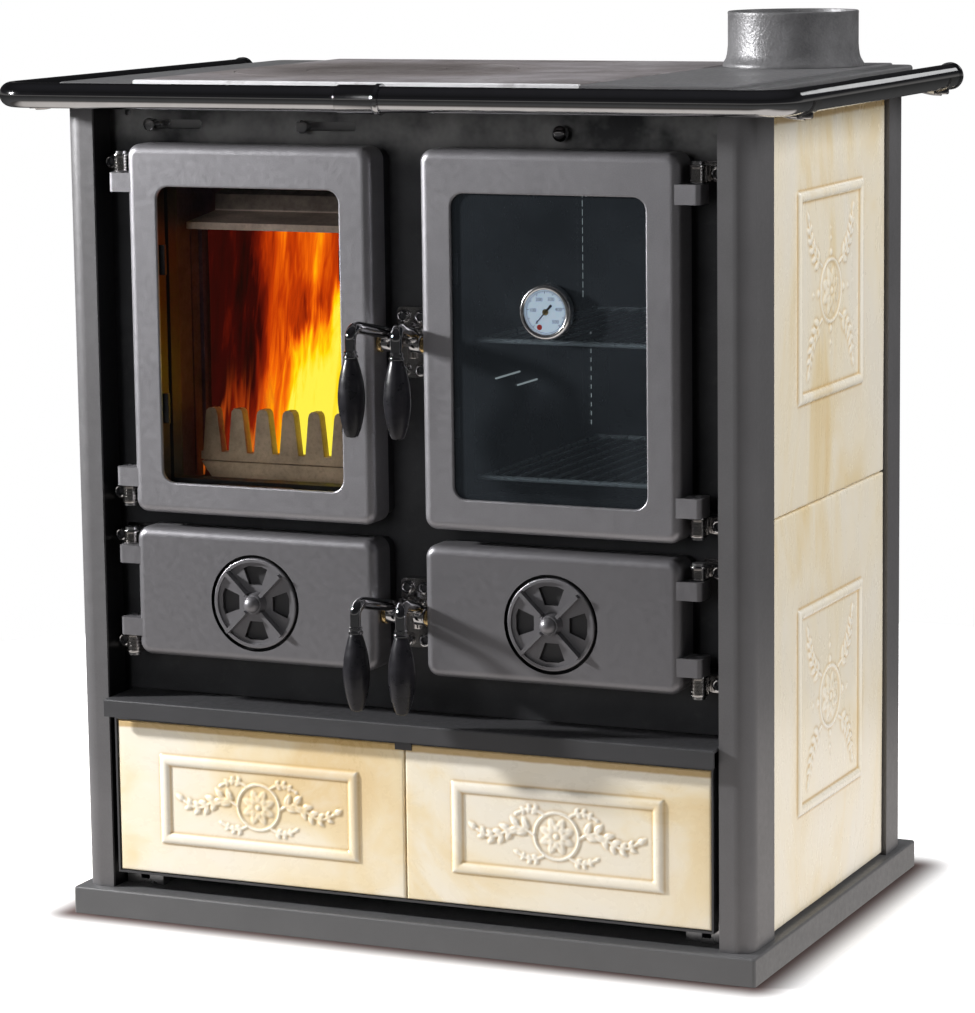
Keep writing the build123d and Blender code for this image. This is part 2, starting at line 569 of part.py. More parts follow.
dt = drawer_tile()
put("drawer_tiles", dt, flip(dt))
DB = (-308.0, 308.0, -222.8, 170.0, 43.2, 150.0)
box = bx(*DB)
box -= bx(DB[0] + 1.5, DB[1] - 1.5, DB[2] + 1.5, DB[3] - 1.5, DB[4] + 1.5, DB[5] + 5)
put("drawer_box", one(box))
run = bx(290, 332, -212, 208, PLINTH_H + 0.2, 33.0)
run += bx(290, 306, -212, 208, 32.0, 42.6)
run += bx(316, 332, -212, 208, 32.0, 62.0)
put("drawer_runners", one(run), flip(one(run)))

# ----------------------------------------------------------------------- hob
frame = rounded_z(-HOB_X, HOB_X, HOB_Y0, HOB_Y1, HOB_Z0, HOB_Z1, 14)
frame = fillet(frame.faces().sort_by(Axis.Z)[-1].edges(), 3)
frame -= bx(PLATE_X0, PLATE_X1, HOB_Y0 - 5, 222, PLATE_Z0 - 0.2, 870)       # bed of the ground plate
frame -= bx(PLATE_X1 - 1, 352, HOB_Y0 - 5, 232, PLATE_Z0 - 0.2, 870)        # bed of the side plate
frame -= bx(-262, 190, -226, 205, 820, 870)                                 # open above the firebox and oven
frame -= bx(205, 350, -226, 226, 820, 870)
put("hob_frame", one(frame))

rx, ry = RING_C
ground = bx(PLATE_X0 + 0.6, PLATE_X1 - 0.6, -243.5, 221.4, PLATE_Z0, PLATE_TOP)
ground = chamfer(ground.faces().sort_by(Axis.Z)[-1].edges(), 0.8)
ground -= cyl_z(853.0, 870, rx, ry, RING_R + 0.6)
ground -= cyl_z(840, 870, rx, ry, RING_R - 9)
put("hob_plate", one(ground))

ring = cyl_z(853.4, PLATE_TOP, rx, ry, RING_R)
ring -= cyl_z(856.4, 870, rx, ry, LID_R + 0.6)
ring -= cyl_z(850, 870, rx, ry, LID_R - 8)
put("hob_ring", one(ring))

lid = cyl_z(856.8, PLATE_TOP, rx, ry, LID_R)
# hole for the lifter
lid -= rounded_z(rx + 32, rx + 54, ry - 5, ry + 5, 850, 870, 4.8)
put("hob_lid", one(lid))

sidep = bx(PLATE_X1 + 0.4, 351.4, -243.5, 231.4, PLATE_Z0, PLATE_TOP - 0.6)
sidep = chamfer(sidep.faces().sort_by(Axis.Z)[-1].edges(), 1.0)
cx, cy = COLLAR_C
sidep -= cyl_z(840, 870, cx, cy, COLLAR_BORE)
put("hob_side_plate", one(sidep))

# flue collar: short spigot with a flared foot
prof = [(COLLAR_BORE, PLATE_TOP - 0.3), (72.5, PLATE_TOP - 0.3), (72.5, PLATE_TOP + 3.0), (70.2, PLATE_TOP + 5.5), (68.2, PLATE_TOP + 11),
        (COLLAR_R, PLATE_TOP + 20), (COLLAR_R, COLLAR_TOP - 0.8), (COLLAR_R - 0.6, COLLAR_TOP), (COLLAR_BORE, COLLAR_TOP)]
face = make_face(Polyline(*[(x, 0, z) for x, z in prof], close=True))
collar = revolve(face, Axis.Z)
put("flue_collar", Pos(cx, cy, 0) * one(collar))


# ---------------------------------------------------------------------- rail
def rail_half(sign, x_end):
    with BuildLine() as path:
        FilletPolyline((sign * RAIL_X, RAIL_BACK, RAIL_Z), (sign * RAIL_X, RAIL_Y, RAIL_Z), (x_end, RAIL_Y, RAIL_Z), radius=RAIL_BEND)
    start = Plane(origin=path.line @ 0, z_dir=path.line % 0)
    return one(sweep(start * Circle(RAIL_R), path=path.line))


SLEEVE_X0, SLEEVE_X1 = -34.0, 12.0
put("rail_left", rail_half(-1, SLEEVE_X0 + 23 - 0.2))
put("rail_right", rail_half(1, SLEEVE_X0 + 23 + 0.2))
sleeve = cyl_x(SLEEVE_X0, SLEEVE_X1, RAIL_Y, RAIL_Z, RAIL_R + 1.4)
sleeve += cyl_x(SLEEVE_X1 - 5, SLEEVE_X1, RAIL_Y, RAIL_Z, RAIL_R + 2.6)
sleeve -= cyl_x(SLEEVE_X0 - 5, SLEEVE_X1 + 5, RAIL_Y, RAIL_Z, RAIL_R + 0.05)
caps = []
for s in (-1, 1):
    c = cyl_y(RAIL_BACK + 0.1, RAIL_BACK + 10, s * RAIL_X, RAIL_Z, RAIL_R + 1.6)
    c = fillet(c.faces().sort_by(Axis.Y)[-1].edges(), 4)
    c += Pos(s * RAIL_X, RAIL_BACK + 8, RAIL_Z) * Sphere(11.5)
    c -= bx(s * RAIL_X - 20, s * RAIL_X + 20, RAIL_BACK - 20, RAIL_BACK + 0.1, RAIL_Z - 20, RAIL_Z + 20)
    caps.append(one(c))
put("rail_fittings", one(sleeve), *caps)

brs = []
for y in (-214.0, 208.0):
    b = bx(HOB_X - 0.0 + 0.3, HOB_X + 5, y - 15, y + 15, 832.5, 853)          # pad on the hob's edge
    b += bx(HOB_X + 3, RAIL_X, y - 7, y + 7, 832.5, 839.5)                   # arm under the rail
    b += cyl_z(828, 842, RAIL_X, y, 8.0)
    b += bx(RAIL_X - 13, RAIL_X + 13, y - 10, y + 10, 832.5, 846)
    b -= cyl_y(y - 20, y + 20, RAIL_X, RAIL_Z, RAIL_R + 0.05)
    brs.append(one(b))
put("rail_brackets", *brs, *[flip(b) for b in brs])

for name, shape in nodes.items():
    export_step(shape, f"parts/{name}.step")
print(len(nodes), "nodes")
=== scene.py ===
import bpy
import bmesh
import math
import random
import numpy as np
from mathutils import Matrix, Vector


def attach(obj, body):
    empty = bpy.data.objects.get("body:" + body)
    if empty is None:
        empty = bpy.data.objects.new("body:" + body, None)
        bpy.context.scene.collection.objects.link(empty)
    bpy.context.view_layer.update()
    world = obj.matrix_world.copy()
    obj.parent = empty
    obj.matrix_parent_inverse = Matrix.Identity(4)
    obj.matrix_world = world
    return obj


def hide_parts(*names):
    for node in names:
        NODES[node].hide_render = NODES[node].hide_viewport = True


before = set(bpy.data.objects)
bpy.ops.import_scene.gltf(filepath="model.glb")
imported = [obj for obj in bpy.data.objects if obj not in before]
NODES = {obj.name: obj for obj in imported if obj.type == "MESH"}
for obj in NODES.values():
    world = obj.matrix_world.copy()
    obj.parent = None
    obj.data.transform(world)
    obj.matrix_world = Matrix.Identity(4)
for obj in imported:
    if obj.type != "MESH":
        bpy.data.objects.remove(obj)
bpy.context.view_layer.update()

random.seed(11)
scene = bpy.context.scene
MM = 0.001
D2R = math.pi / 180.0


# ------------------------------------------------------------- node graphs
class Graph:
    """A small helper around one material's node tree."""

    def __init__(self, name):
        self.m = bpy.data.materials.new(name)
        self.m.use_nodes = True
        self.t = self.m.node_tree
        self.t.nodes.clear()
        self.out = self.t.nodes.new("ShaderNodeOutputMaterial")
        self.tc = None

    def put(self, n, key, v):
        if v is None:
            return
        s = n.inputs[key]
        if isinstance(v, bpy.types.NodeSocket):
            self.t.links.new(v, s)
        elif isinstance(v, (tuple, list)) and s.type == "RGBA" and len(v) == 3:
            s.default_value = (*v, 1.0)
        else:
            s.default_value = v

    def node(self, kind, ins=None, **props):
        n = self.t.nodes.new(kind)
        for k, v in props.items():
            setattr(n, k, v)
        for k, v in (ins or {}).items():
            self.put(n, k, v)
        return n

    def co(self):
        if self.tc is None:
            self.tc = self.node("ShaderNodeTexCoord").outputs["Object"]
        return self.tc

    def mapping(self, scale=(1, 1, 1), loc=(0, 0, 0), rot=(0, 0, 0), vec=None):
        return self.node("ShaderNodeMapping", {"Vector": vec or self.co(), "Scale": scale, "Location": loc, "Rotation": rot}).outputs[0]

    def noise(self, scale, detail=3.0, rough=0.55, dist=0.0, vec=None):
        return self.node("ShaderNodeTexNoise", {"Vector": vec or self.co(), "Scale": scale, "Detail": detail,
                                                "Roughness": rough, "Distortion": dist}).outputs["Fac"]

    def voro(self, scale, feature="F1", vec=None, out="Distance"):
        return self.node("ShaderNodeTexVoronoi", {"Vector": vec or self.co(), "Scale": scale}, feature=feature).outputs[out]

    def fit(self, v, a, b, c=0.0, d=1.0, smooth=False):
        return self.node("ShaderNodeMapRange", {"Value": v, "From Min": a, "From Max": b, "To Min": c, "To Max": d},
                         interpolation_type="SMOOTHSTEP" if smooth else "LINEAR").outputs["Result"]

    def math(self, op, a, b=0.0, clamp=False):
        n = self.node("ShaderNodeMath", operation=op, use_clamp=clamp)
        self.put(n, 0, a)
        self.put(n, 1, b)
        return n.outputs[0]

    def mix(self, f, a, b, blend="MIX"):
        n = self.node("ShaderNodeMix", data_type="RGBA", blend_type=blend)
        self.put(n, 0, f)
        self.put(n, 6, a if not isinstance(a, tuple) else (*a[:3], 1.0))
        self.put(n, 7, b if not isinstance(b, tuple) else (*b[:3], 1.0))
        return n.outputs[2]

    def ramp(self, f, stops, interp="LINEAR"):
        n = self.node("ShaderNodeValToRGB", {"Fac": f})
        n.color_ramp.interpolation = interp
        el = n.color_ramp.elements
        while len(el) > 2:
            el.remove(el[-1])
        for i, (p, c) in enumerate(stops):
            e = el[i] if i < 2 else el.new(p)
            e.position = p
            e.color = (*c, 1.0)
        return n.outputs["Color"]

    def bump(self, h, strength=0.3, dist=0.0003, normal=None):
        return self.node("ShaderNodeBump", {"Height": h, "Strength": strength, "Distance": dist, "Normal": normal}).outputs[0]

    def principled(self, **k):
        n = self.node("ShaderNodeBsdfPrincipled")
        for key, v in k.items():
            self.put(n, key.replace("_", " "), v)
        return n.outputs[0]

    def done(self, shader):
        self.t.links.new(shader, self.out.inputs["Surface"])
        return self.m

    def axis(self, which):
        s = self.node("ShaderNodeSeparateXYZ", {0: self.co()})
        return s.outputs[which]


def tone(c, k):
    return tuple(min(1.0, x * k) for x in c)


def paint(name, base, rough=0.42, metal=0.0, grain=1100.0, strength=0.25, dist=0.00025, cloud=0.10, spec=0.5,
          coat=0.0, coat_rough=0.25, blotch=18.0, lump=0.0, dust=0.0, soot=0.0):
    g = Graph(name)
    big = g.noise(blotch, 4, 0.6)
    mid = g.noise(150, 3, 0.6)
    fine = g.noise(grain, 2, 0.5)
    c = g.mix(g.fit(big, 0.3, 0.7), tone(base, 1 - cloud), tone(base, 1 + cloud))
    c = g.mix(g.fit(fine, 0.35, 0.7, 0.0, 0.35), c, tone(base, 1.35))
    if dust:
        c = g.mix(g.fit(g.noise(60, 5, 0.7), 0.58, 0.75, 0.0, dust), c, (0.30, 0.29, 0.27))
    if soot:
        # pale ash film in the upper corners of the panel
        z = g.axis(2)
        film = g.math("MULTIPLY", g.fit(z, 0.770, 0.822, 0.0, soot, smooth=True), g.fit(g.noise(9, 5, 0.65), 0.38, 0.62))
        c = g.mix(film, c, (0.200, 0.197, 0.195))
    r = g.fit(mid, 0.3, 0.7, rough - 0.05, rough + 0.06)
    h = fine
    if lump:
        h = g.math("ADD", fine, g.math("MULTIPLY", g.noise(260, 2, 0.5), lump))
    nrm = g.bump(h, strength, dist)
    return g.done(g.principled(Base_Color=c, Roughness=r, Metallic=metal, Normal=nrm, Specular_IOR_Level=spec,
                               Coat_Weight=coat, Coat_Roughness=coat_rough))


def post_paint():
    # grey outside; painted shade: the narrow return inside the bend, facing the doors, is painted near black
    g = Graph("corner_post_paint")
    base = (0.155, 0.152, 0.157)
    sep = g.node("ShaderNodeSeparateXYZ", {0: g.co()})
    ax = g.math("ABSOLUTE", sep.outputs[0])
    inner = g.math("MULTIPLY", g.math("LESS_THAN", ax, 0.3372), g.math("GREATER_THAN", sep.outputs[1], -0.2345))
    big, mid, fine = g.noise(14, 4, 0.6), g.noise(150, 3, 0.6), g.noise(1300, 2, 0.5)
    c = g.mix(g.fit(big, 0.3, 0.7), tone(base, 0.92), tone(base, 1.08))
    c = g.mix(g.fit(fine, 0.35, 0.7, 0.0, 0.35), c, tone(base, 1.35))
    # painted shade: the inner return takes a near-black colour
    c = g.mix(inner, c, (0.008, 0.008, 0.009))
    h = g.math("ADD", fine, g.math("MULTIPLY", g.noise(260, 2, 0.5), 0.5))
    return g.done(g.principled(Base_Color=c, Roughness=g.fit(mid, 0.3, 0.7, 0.34, 0.43), Metallic=0.45, Normal=g.bump(h, 0.28, 0.00022), Specular_IOR_Level=0.5))


def chrome(name, base=(0.60, 0.60, 0.61), rough=0.07, warm=0.0):
    g = Graph(name)
    n = g.noise(35, 4, 0.65)
    sm = g.noise(420, 3, 0.6)
    c = g.mix(g.fit(n, 0.35, 0.7, 0, 1), base, tone((base[0] + warm, base[1] + warm * 0.6, base[2]), 0.9))
    r = g.fit(n, 0.35, 0.7, rough * 0.8, rough * 1.5)
    nrm = g.bump(sm, 0.03, 0.0001)
    return g.done(g.principled(Base_Color=c, Metallic=1.0, Roughness=r, Normal=nrm))


M = {}
M["paint"] = paint("grey_textured_paint", (0.097, 0.097, 0.100), rough=0.40, grain=1300, strength=0.32, dist=0.00022, cloud=0.07, spec=0.45, lump=0.5)
M["post"] = post_paint()
M["collar"] = paint("cast_collar", (0.150, 0.149, 0.154), rough=0.42, metal=0.35, grain=420, strength=0.55, dist=0.0006, cloud=0.30, spec=0.45, blotch=34.0, lump=1.2)
M["paint_top"] = paint("grey_paint_top", (0.112, 0.111, 0.115), rough=0.44, grain=1000, strength=0.35, dist=0.0003, cloud=0.12, spec=0.4, lump=0.6)


def door_paint():
    # metallic grey on the outside, with painted shade: the window rebate, the damper gap and the disc's recess are
    # painted black inside, and the lower doors are painted darker
    g = Graph("cast_door_paint")
    base = (0.300, 0.294, 0.312)
    sep = g.node("ShaderNodeSeparateXYZ", {0: g.co()})
    dx = g.math("SUBTRACT", g.math("ABSOLUTE", sep.outputs[0]), 0.16125)
    deep = g.math("GREATER_THAN", sep.outputs[1], -0.2372)
    win = g.math("MULTIPLY", g.math("LESS_THAN", g.math("ABSOLUTE", dx), 0.1125), g.math("LESS_THAN", g.math("ABSOLUTE", g.math("SUBTRACT", sep.outputs[2], 0.605)), 0.162))
    win = g.math("MULTIPLY", win, deep)
    dz = g.math("SUBTRACT", sep.outputs[2], 0.338)
    r = g.math("SQRT", g.math("ADD", g.math("MULTIPLY", dx, dx), g.math("MULTIPLY", dz, dz)))
    well = g.math("MULTIPLY", g.math("LESS_THAN", r, 0.0496), g.math("GREATER_THAN", sep.outputs[1], -0.2364))
    gap = g.math("MULTIPLY", g.math("GREATER_THAN", r, 0.0463), g.math("LESS_THAN", r, 0.0494))
    wall = g.math("MULTIPLY", gap, g.math("GREATER_THAN", sep.outputs[1], -0.2398))
    big, mid, fine = g.noise(18, 4, 0.6), g.noise(150, 3, 0.6), g.noise(900, 2, 0.5)
    c = g.mix(g.fit(big, 0.3, 0.7), tone(base, 0.93), tone(base, 1.07))
    c = g.mix(g.fit(fine, 0.35, 0.7, 0.0, 0.35), c, tone(base, 1.35))
    # painted shade: below 0.412 to 0.420 m the lower doors take a darker copy of the paint
    c = g.mix(g.fit(sep.outputs[2], 0.412, 0.420, 1.0, 0.0), c, tone(base, 0.78))
    # painted shade: the disc's recess floor goes near black, and the damper gap wall and the window rebate go black
    c = g.mix(well, c, tone(base, 0.11))
    c = g.mix(g.math("MAXIMUM", wall, win), c, (0.006, 0.006, 0.007))
    h = g.math("ADD", fine, g.math("MULTIPLY", g.noise(260, 2, 0.5), 0.8))
    metal = g.math("MULTIPLY", 0.72, g.math("SUBTRACT", 1.0, g.math("MAXIMUM", well, win)))
    return g.done(g.principled(Base_Color=c, Roughness=g.fit(mid, 0.3, 0.7, 0.37, 0.46), Metallic=metal, Normal=g.bump(h, 0.30, 0.0003), Specular_IOR_Level=0.5))


M["door"] = door_paint()
M["panel"] = paint("black_panel", (0.0285, 0.0288, 0.0310), rough=0.38, grain=1400, strength=0.12, dist=0.0002, cloud=0.3, spec=0.35, dust=0.05, soot=1.0)
M["sill"] = paint("sill_paint", (0.046, 0.046, 0.049), rough=0.42, grain=1300, strength=0.32, dist=0.00022, cloud=0.08, spec=0.40, lump=0.5)
M["dark_cast"] = paint("dark_cast_seat", (0.018, 0.018, 0.020), rough=0.42, grain=900, strength=0.3, dist=0.0003, cloud=0.2, spec=0.35)
M["raw"] = paint("raw_cast", (0.045, 0.042, 0.040), rough=0.62, metal=0.3, grain=700, strength=0.5, dist=0.0005, cloud=0.3, spec=0.3, dust=0.25)
M["back"] = paint("rear_sheet", (0.040, 0.040, 0.042), rough=0.45, grain=1200, strength=0.2, cloud=0.15, spec=0.4, dust=0.04)
M["chrome"] = chrome("chrome", rough=0.06)
M["chrome_soft"] = chrome("satin_chrome", (0.58, 0.57, 0.57), rough=0.15, warm=0.04)
M["zinc"] = chrome("zinc_plate", (0.55, 0.55, 0.56), rough=0.28)
M["wire"] = paint("rack_wire", (0.86, 0.88, 0.90), rough=0.30, metal=0.35, grain=900, strength=0.1, cloud=0.1, spec=0.6)
M["bezel"] = chrome("bezel_steel", (0.86, 0.86, 0.87), rough=0.20)
M["brass"] = chrome("brass_cam", (0.72, 0.52, 0.25), rough=0.22)


def ground_iron():
    # machined hob plate: concentric tool marks round the ring, oiled mottling
    g = Graph("ground_iron")
    v = g.node("ShaderNodeVectorMath", {0: g.co(), 1: (-0.128, -0.006, 0.86)}, operation="SUBTRACT").outputs[0]
    flat = g.node("ShaderNodeVectorMath", {0: v, 1: (1, 1, 0)}, operation="MULTIPLY").outputs[0]
    r = g.node("ShaderNodeVectorMath", {0: flat}, operation="LENGTH").outputs["Value"]
    wob = g.math("ADD", r, g.math("MULTIPLY", g.noise(22, 2, 0.5), 0.0016))
    marks = g.math("SINE", g.math("MULTIPLY", wob, 5200.0))
    lines = g.noise(1.0, 4, 0.6, vec=g.mapping(scale=(2600, 30, 60)))
    big = g.noise(9, 5, 0.62, 0.6)
    spots = g.noise(75, 5, 0.7)
    c = g.ramp(big, [(0.30, (0.175, 0.155, 0.155)), (0.52, (0.330, 0.305, 0.318)), (0.72, (0.460, 0.435, 0.452))])
    c = g.mix(g.fit(spots, 0.52, 0.72, 0, 0.55), c, (0.16, 0.136, 0.120))
    # heat-darkened zone over the fire
    zone = g.fit(r, 0.075, 0.165, 0.62, 0.0, smooth=True)
    c = g.mix(zone, c, (0.088, 0.080, 0.080))
    edge = g.fit(r, 0.165, 0.19, 0.25, 0.0, smooth=True)
    c = g.mix(edge, c, (0.15, 0.12, 0.10))
    # painted highlight: a bright line along the plate's front edge
    sep = g.node("ShaderNodeSeparateXYZ", {0: g.co()})
    painted_edge_highlight = g.math("MULTIPLY", g.fit(sep.outputs[1], -0.2372, -0.2398, 0.0, 1.0), g.fit(g.noise(40, 4, 0.6), 0.30, 0.45, 0.55, 1.0))
    c = g.mix(painted_edge_highlight, c, (0.80, 0.80, 0.82))
    h = g.math("ADD", g.math("MULTIPLY", marks, 0.5), g.math("MULTIPLY", lines, 0.8))
    nrm = g.bump(h, 0.10, 0.00012)
    rough = g.fit(spots, 0.3, 0.7, 0.30, 0.46)
    return g.done(g.principled(Base_Color=c, Metallic=0.35, Roughness=rough, Normal=nrm))


M["ground"] = ground_iron()


def glaze(name, seed, vertical=True, top=1.0, band=0.010):
    # cream glaze with ochre veils; it pools dark in the grooves and thins on the ridges
    g = Graph(name)
    sc = (1.0, 1.0, 0.34) if vertical else (0.7, 1.0, 1.0)
    v = g.mapping(scale=sc, loc=(seed, seed * 0.37, seed * 1.7))
    warp = g.node("ShaderNodeTexNoise", {"Vector": v, "Scale": 3.2, "Detail": 3.0}).outputs["Color"]
    off = g.node("ShaderNodeVectorMath", {0: warp, 1: (0.5, 0.5, 0.5)}, operation="SUBTRACT").outputs[0]
    off = g.node("ShaderNodeVectorMath", {0: off, "Scale": 0.20}, operation="SCALE").outputs[0]
    w = g.node("ShaderNodeVectorMath", {0: v, 1: off}, operation="ADD").outputs[0]
    veil = g.noise(8.5, 4, 0.52, 0.5, vec=w)
    fine = g.noise(40, 5, 0.65, 0.3, vec=w)
    cream = (0.875, 0.790, 0.620)
    c = g.ramp(veil, [(0.36, (0.86, 0.80, 0.68)), (0.50, cream), (0.60, (0.83, 0.690, 0.445)), (0.72, (0.77, 0.590, 0.330))])
    c = g.mix(g.fit(fine, 0.55, 0.75, 0, 0.30), c, (0.92, 0.875, 0.78))
    at = g.node("ShaderNodeAttribute", attribute_name="pool").outputs["Fac"]
    lit = g.node("ShaderNodeAttribute", attribute_name="thin").outputs["Fac"]
    c = g.mix(g.math("MULTIPLY", at, 0.80, clamp=True), c, (0.60, 0.400, 0.165))
    c = g.mix(g.math("MULTIPLY", lit, 0.70, clamp=True), c, (0.955, 0.925, 0.855))
    # painted shadow: an ochre-brown strip along the tile's top edge, where the hob or the sill shades it
    z = g.axis(2)
    painted_top_shadow = g.math("MULTIPLY", g.fit(g.math("ADD", z, g.math("MULTIPLY", g.noise(30, 3, 0.5), 0.003)), top - band, top - band * 0.6, 0.0, 0.85, smooth=True), 1.0)
    c = g.mix(painted_top_shadow, c, (0.50, 0.33, 0.12))
    speck = g.voro(55)
    c = g.mix(g.fit(speck, 0.02, 0.035, 0.35, 0.0), c, (0.45, 0.36, 0.22))
    nrm = g.bump(g.noise(30, 2, 0.5), 0.10, 0.0006)
    return g.done(g.principled(Base_Color=c, Roughness=g.fit(fine, 0.3, 0.7, 0.22, 0.34), Normal=nrm, Coat_Weight=0.45, Coat_Roughness=0.10,
                               Specular_IOR_Level=0.5))


def brick(name, base, soot_z=None):
    g = Graph(name)
    n = g.noise(26, 5, 0.65)
    f = g.noise(240, 4, 0.6)
    c = g.mix(g.fit(n, 0.3, 0.7), tone(base, 0.65), tone(base, 1.25))
    c = g.mix(g.fit(f, 0.5, 0.75, 0, 0.4), c, tone(base, 0.4))
    if soot_z:
        z = g.axis(2)
        streak = g.noise(60, 3, 0.6)
        k = g.math("MULTIPLY", g.fit(z, soot_z, soot_z + 0.0015, 0.0, 1.0), g.fit(streak, 0.3, 0.7, 0.65, 0.9))
        c = g.mix(k, c, tone(base, 0.16))
    nrm = g.bump(g.math("ADD", n, g.math("MULTIPLY", f, 0.6)), 0.5, 0.0008)
    return g.done(g.principled(Base_Color=c, Roughness=g.fit(f, 0.3, 0.7, 0.72, 0.92), Normal=nrm, Specular_IOR_Level=0.25))


M["liner"] = brick("firebox_liner", (0.150, 0.096, 0.150))
M["baffle"] = brick("baffle_iron", (0.60, 0.49, 0.43), 0.7175)
M["guard"] = brick("log_guard_iron", (0.55, 0.43, 0.31))


def rope():
    g = Graph("glass_rope")
    w = g.node("ShaderNodeTexWave", {"Vector": g.mapping(rot=(0.6, 0.5, 0.7)), "Scale": 160.0, "Distortion": 1.5, "Detail": 2.0}).outputs["Fac"]
    f = g.noise(900, 3, 0.6)
    c = g.mix(w, (0.055, 0.053, 0.050), (0.14, 0.135, 0.125))
    return g.done(g.principled(Base_Color=c, Roughness=0.95, Normal=g.bump(g.math("ADD", w, g.math("MULTIPLY", f, 0.5)), 0.7, 0.0008), Sheen_Weight=0.2))


M["rope"] = rope()


def pane(name, tint, ior, smudge, film=0.0, film_color=(0.2, 0.2, 0.2)):
    g = Graph(name)
    fr = g.node("ShaderNodeFresnel", {"IOR": ior}).outputs[0]
    n = g.noise(12, 4, 0.6)
    gl = g.node("ShaderNodeBsdfGlossy", {"Color": (0.92, 0.95, 1.0), "Roughness": g.fit(n, 0.4, 0.7, 0.02, 0.06)}).outputs[0]
    tr = g.node("ShaderNodeBsdfTransparent", {"Color": g.mix(g.fit(n, 0.45, 0.75, 0, smudge), tint, tone(tint, 0.8))}).outputs[0]
    if film:
        df = g.node("ShaderNodeBsdfDiffuse", {"Color": film_color}).outputs[0]
        tr = g.node("ShaderNodeMixShader", {0: g.fit(n, 0.3, 0.7, film * 0.8, film * 1.2), 1: tr, 2: df}).outputs[0]
    mx = g.node("ShaderNodeMixShader", {0: fr, 1: tr, 2: gl}).outputs[0]
    return g.done(mx)


M["fire_glass"] = pane("clear_ceramic_glass", (0.985, 0.98, 0.97), 1.28, 0.06)
M["oven_glass"] = pane("dark_oven_glass", (0.80, 0.84, 0.86), 1.38, 0.15, 0.085, (0.17, 0.20, 0.235))
M["lens"] = pane("dial_lens", (0.97, 0.98, 0.99), 1.30, 0.05)


def bakelite():
    g = Graph("gloss_black_grip")
    n = g.noise(70, 4, 0.6)
    w = g.noise(240, 2, 0.5)
    c = g.mix(g.fit(n, 0.35, 0.7), (0.010, 0.010, 0.012), (0.020, 0.019, 0.023))
    return g.done(g.principled(Base_Color=c, Roughness=g.fit(n, 0.3, 0.7, 0.25, 0.34), Specular_IOR_Level=0.28, Coat_Weight=0.06, Coat_Roughness=0.12,
                               Normal=g.bump(w, 0.06, 0.0002)))


M["grip"] = bakelite()


def oven_enamel():
    g = Graph("oven_enamel")
    n = g.noise(55, 4, 0.6)
    s = g.voro(420)
    c = g.mix(g.fit(n, 0.3, 0.7), (0.012, 0.013, 0.016), (0.030, 0.032, 0.037))
    c = g.mix(g.fit(s, 0.05, 0.12, 0.5, 0.0), c, (0.16, 0.17, 0.19))
    return g.done(g.principled(Base_Color=c, Roughness=g.fit(n, 0.3, 0.7, 0.24, 0.36), Normal=g.bump(n, 0.1, 0.0004), Specular_IOR_Level=0.5))


M["oven"] = oven_enamel()


def plain(name, a, b, rough, scale=300.0, metal=0.0, lift=None):
    g = Graph(name)
    n = g.noise(scale, 3, 0.6)
    c = g.mix(g.fit(n, 0.3, 0.7), a, b)
    # lift adds emission on top of the colour, a painted glow
    extra = {"Emission_Color": (*lift, 1.0), "Emission_Strength": 1.0} if lift else {}
    return g.done(g.principled(Base_Color=c, Roughness=g.fit(n, 0.3, 0.7, rough - 0.04, rough + 0.05), Metallic=metal, Normal=g.bump(n, 0.06, 0.0001), **extra))


# painted glow: the dial face emits a little light through lift, so it reads brighter than its lighting gives
M["dial"] = plain("dial_face", (0.84, 0.95, 1.0), (0.95, 0.99, 1.0), 0.45, scale=120.0, lift=(0.095, 0.14, 0.195))
# painted highlight: a bright material that also glows, for thin strips in the oven
M["bright_edge"] = plain("painted_highlight_edge", (0.90, 0.92, 0.94), (0.75, 0.78, 0.80), 0.3, scale=500.0, lift=(0.34, 0.37, 0.37))
M["ink"] = plain("dial_ink", (0.10, 0.13, 0.18), (0.15, 0.18, 0.23), 0.5)
M["red_ink"] = plain("dial_red", (0.55, 0.04, 0.03), (0.62, 0.06, 0.04), 0.5)
M["needle"] = plain("needle_lacquer", (0.020, 0.020, 0.022), (0.035, 0.035, 0.038), 0.35)
M["gold"] = chrome("needle_hub", (0.78, 0.60, 0.30), rough=0.2)
M["ash_dark"] = plain("drawer_inside", (0.020, 0.020, 0.021), (0.034, 0.034, 0.035), 0.5)


def char_log():
    g = Graph("charred_wood")
    v = g.mapping(scale=(6, 40, 40))
    bark = g.noise(1.6, 6, 0.7, 0.6, vec=v)
    grain = g.noise(9.0, 4, 0.6, 0.3, vec=v)
    c = g.mix(g.fit(bark, 0.35, 0.7), (0.012, 0.009, 0.008), (0.105, 0.078, 0.060))
    c = g.mix(g.fit(grain, 0.5, 0.7, 0.0, 0.5), c, (0.020, 0.015, 0.012))
    return g.done(g.principled(Base_Color=c, Roughness=g.fit(grain, 0.3, 0.7, 0.80, 0.95), Normal=g.bump(bark, 0.8, 0.002)))


M["log"] = char_log()


def flame_field(g):
    # place in the fire (0 left to 1 right, height in metres), and upright streaks that lean a little
    sep = g.node("ShaderNodeSeparateXYZ", {0: g.co()})
    x, z = sep.outputs[0], sep.outputs[2]
    t = g.fit(x, -0.287, -0.132)
    lean = g.math("ADD", x, g.math("MULTIPLY", z, -0.10))
    v = g.node("ShaderNodeCombineXYZ", {0: lean, 1: 0.4, 2: g.math("MULTIPLY", z, 0.13)}).outputs[0]
    return x, z, t, v


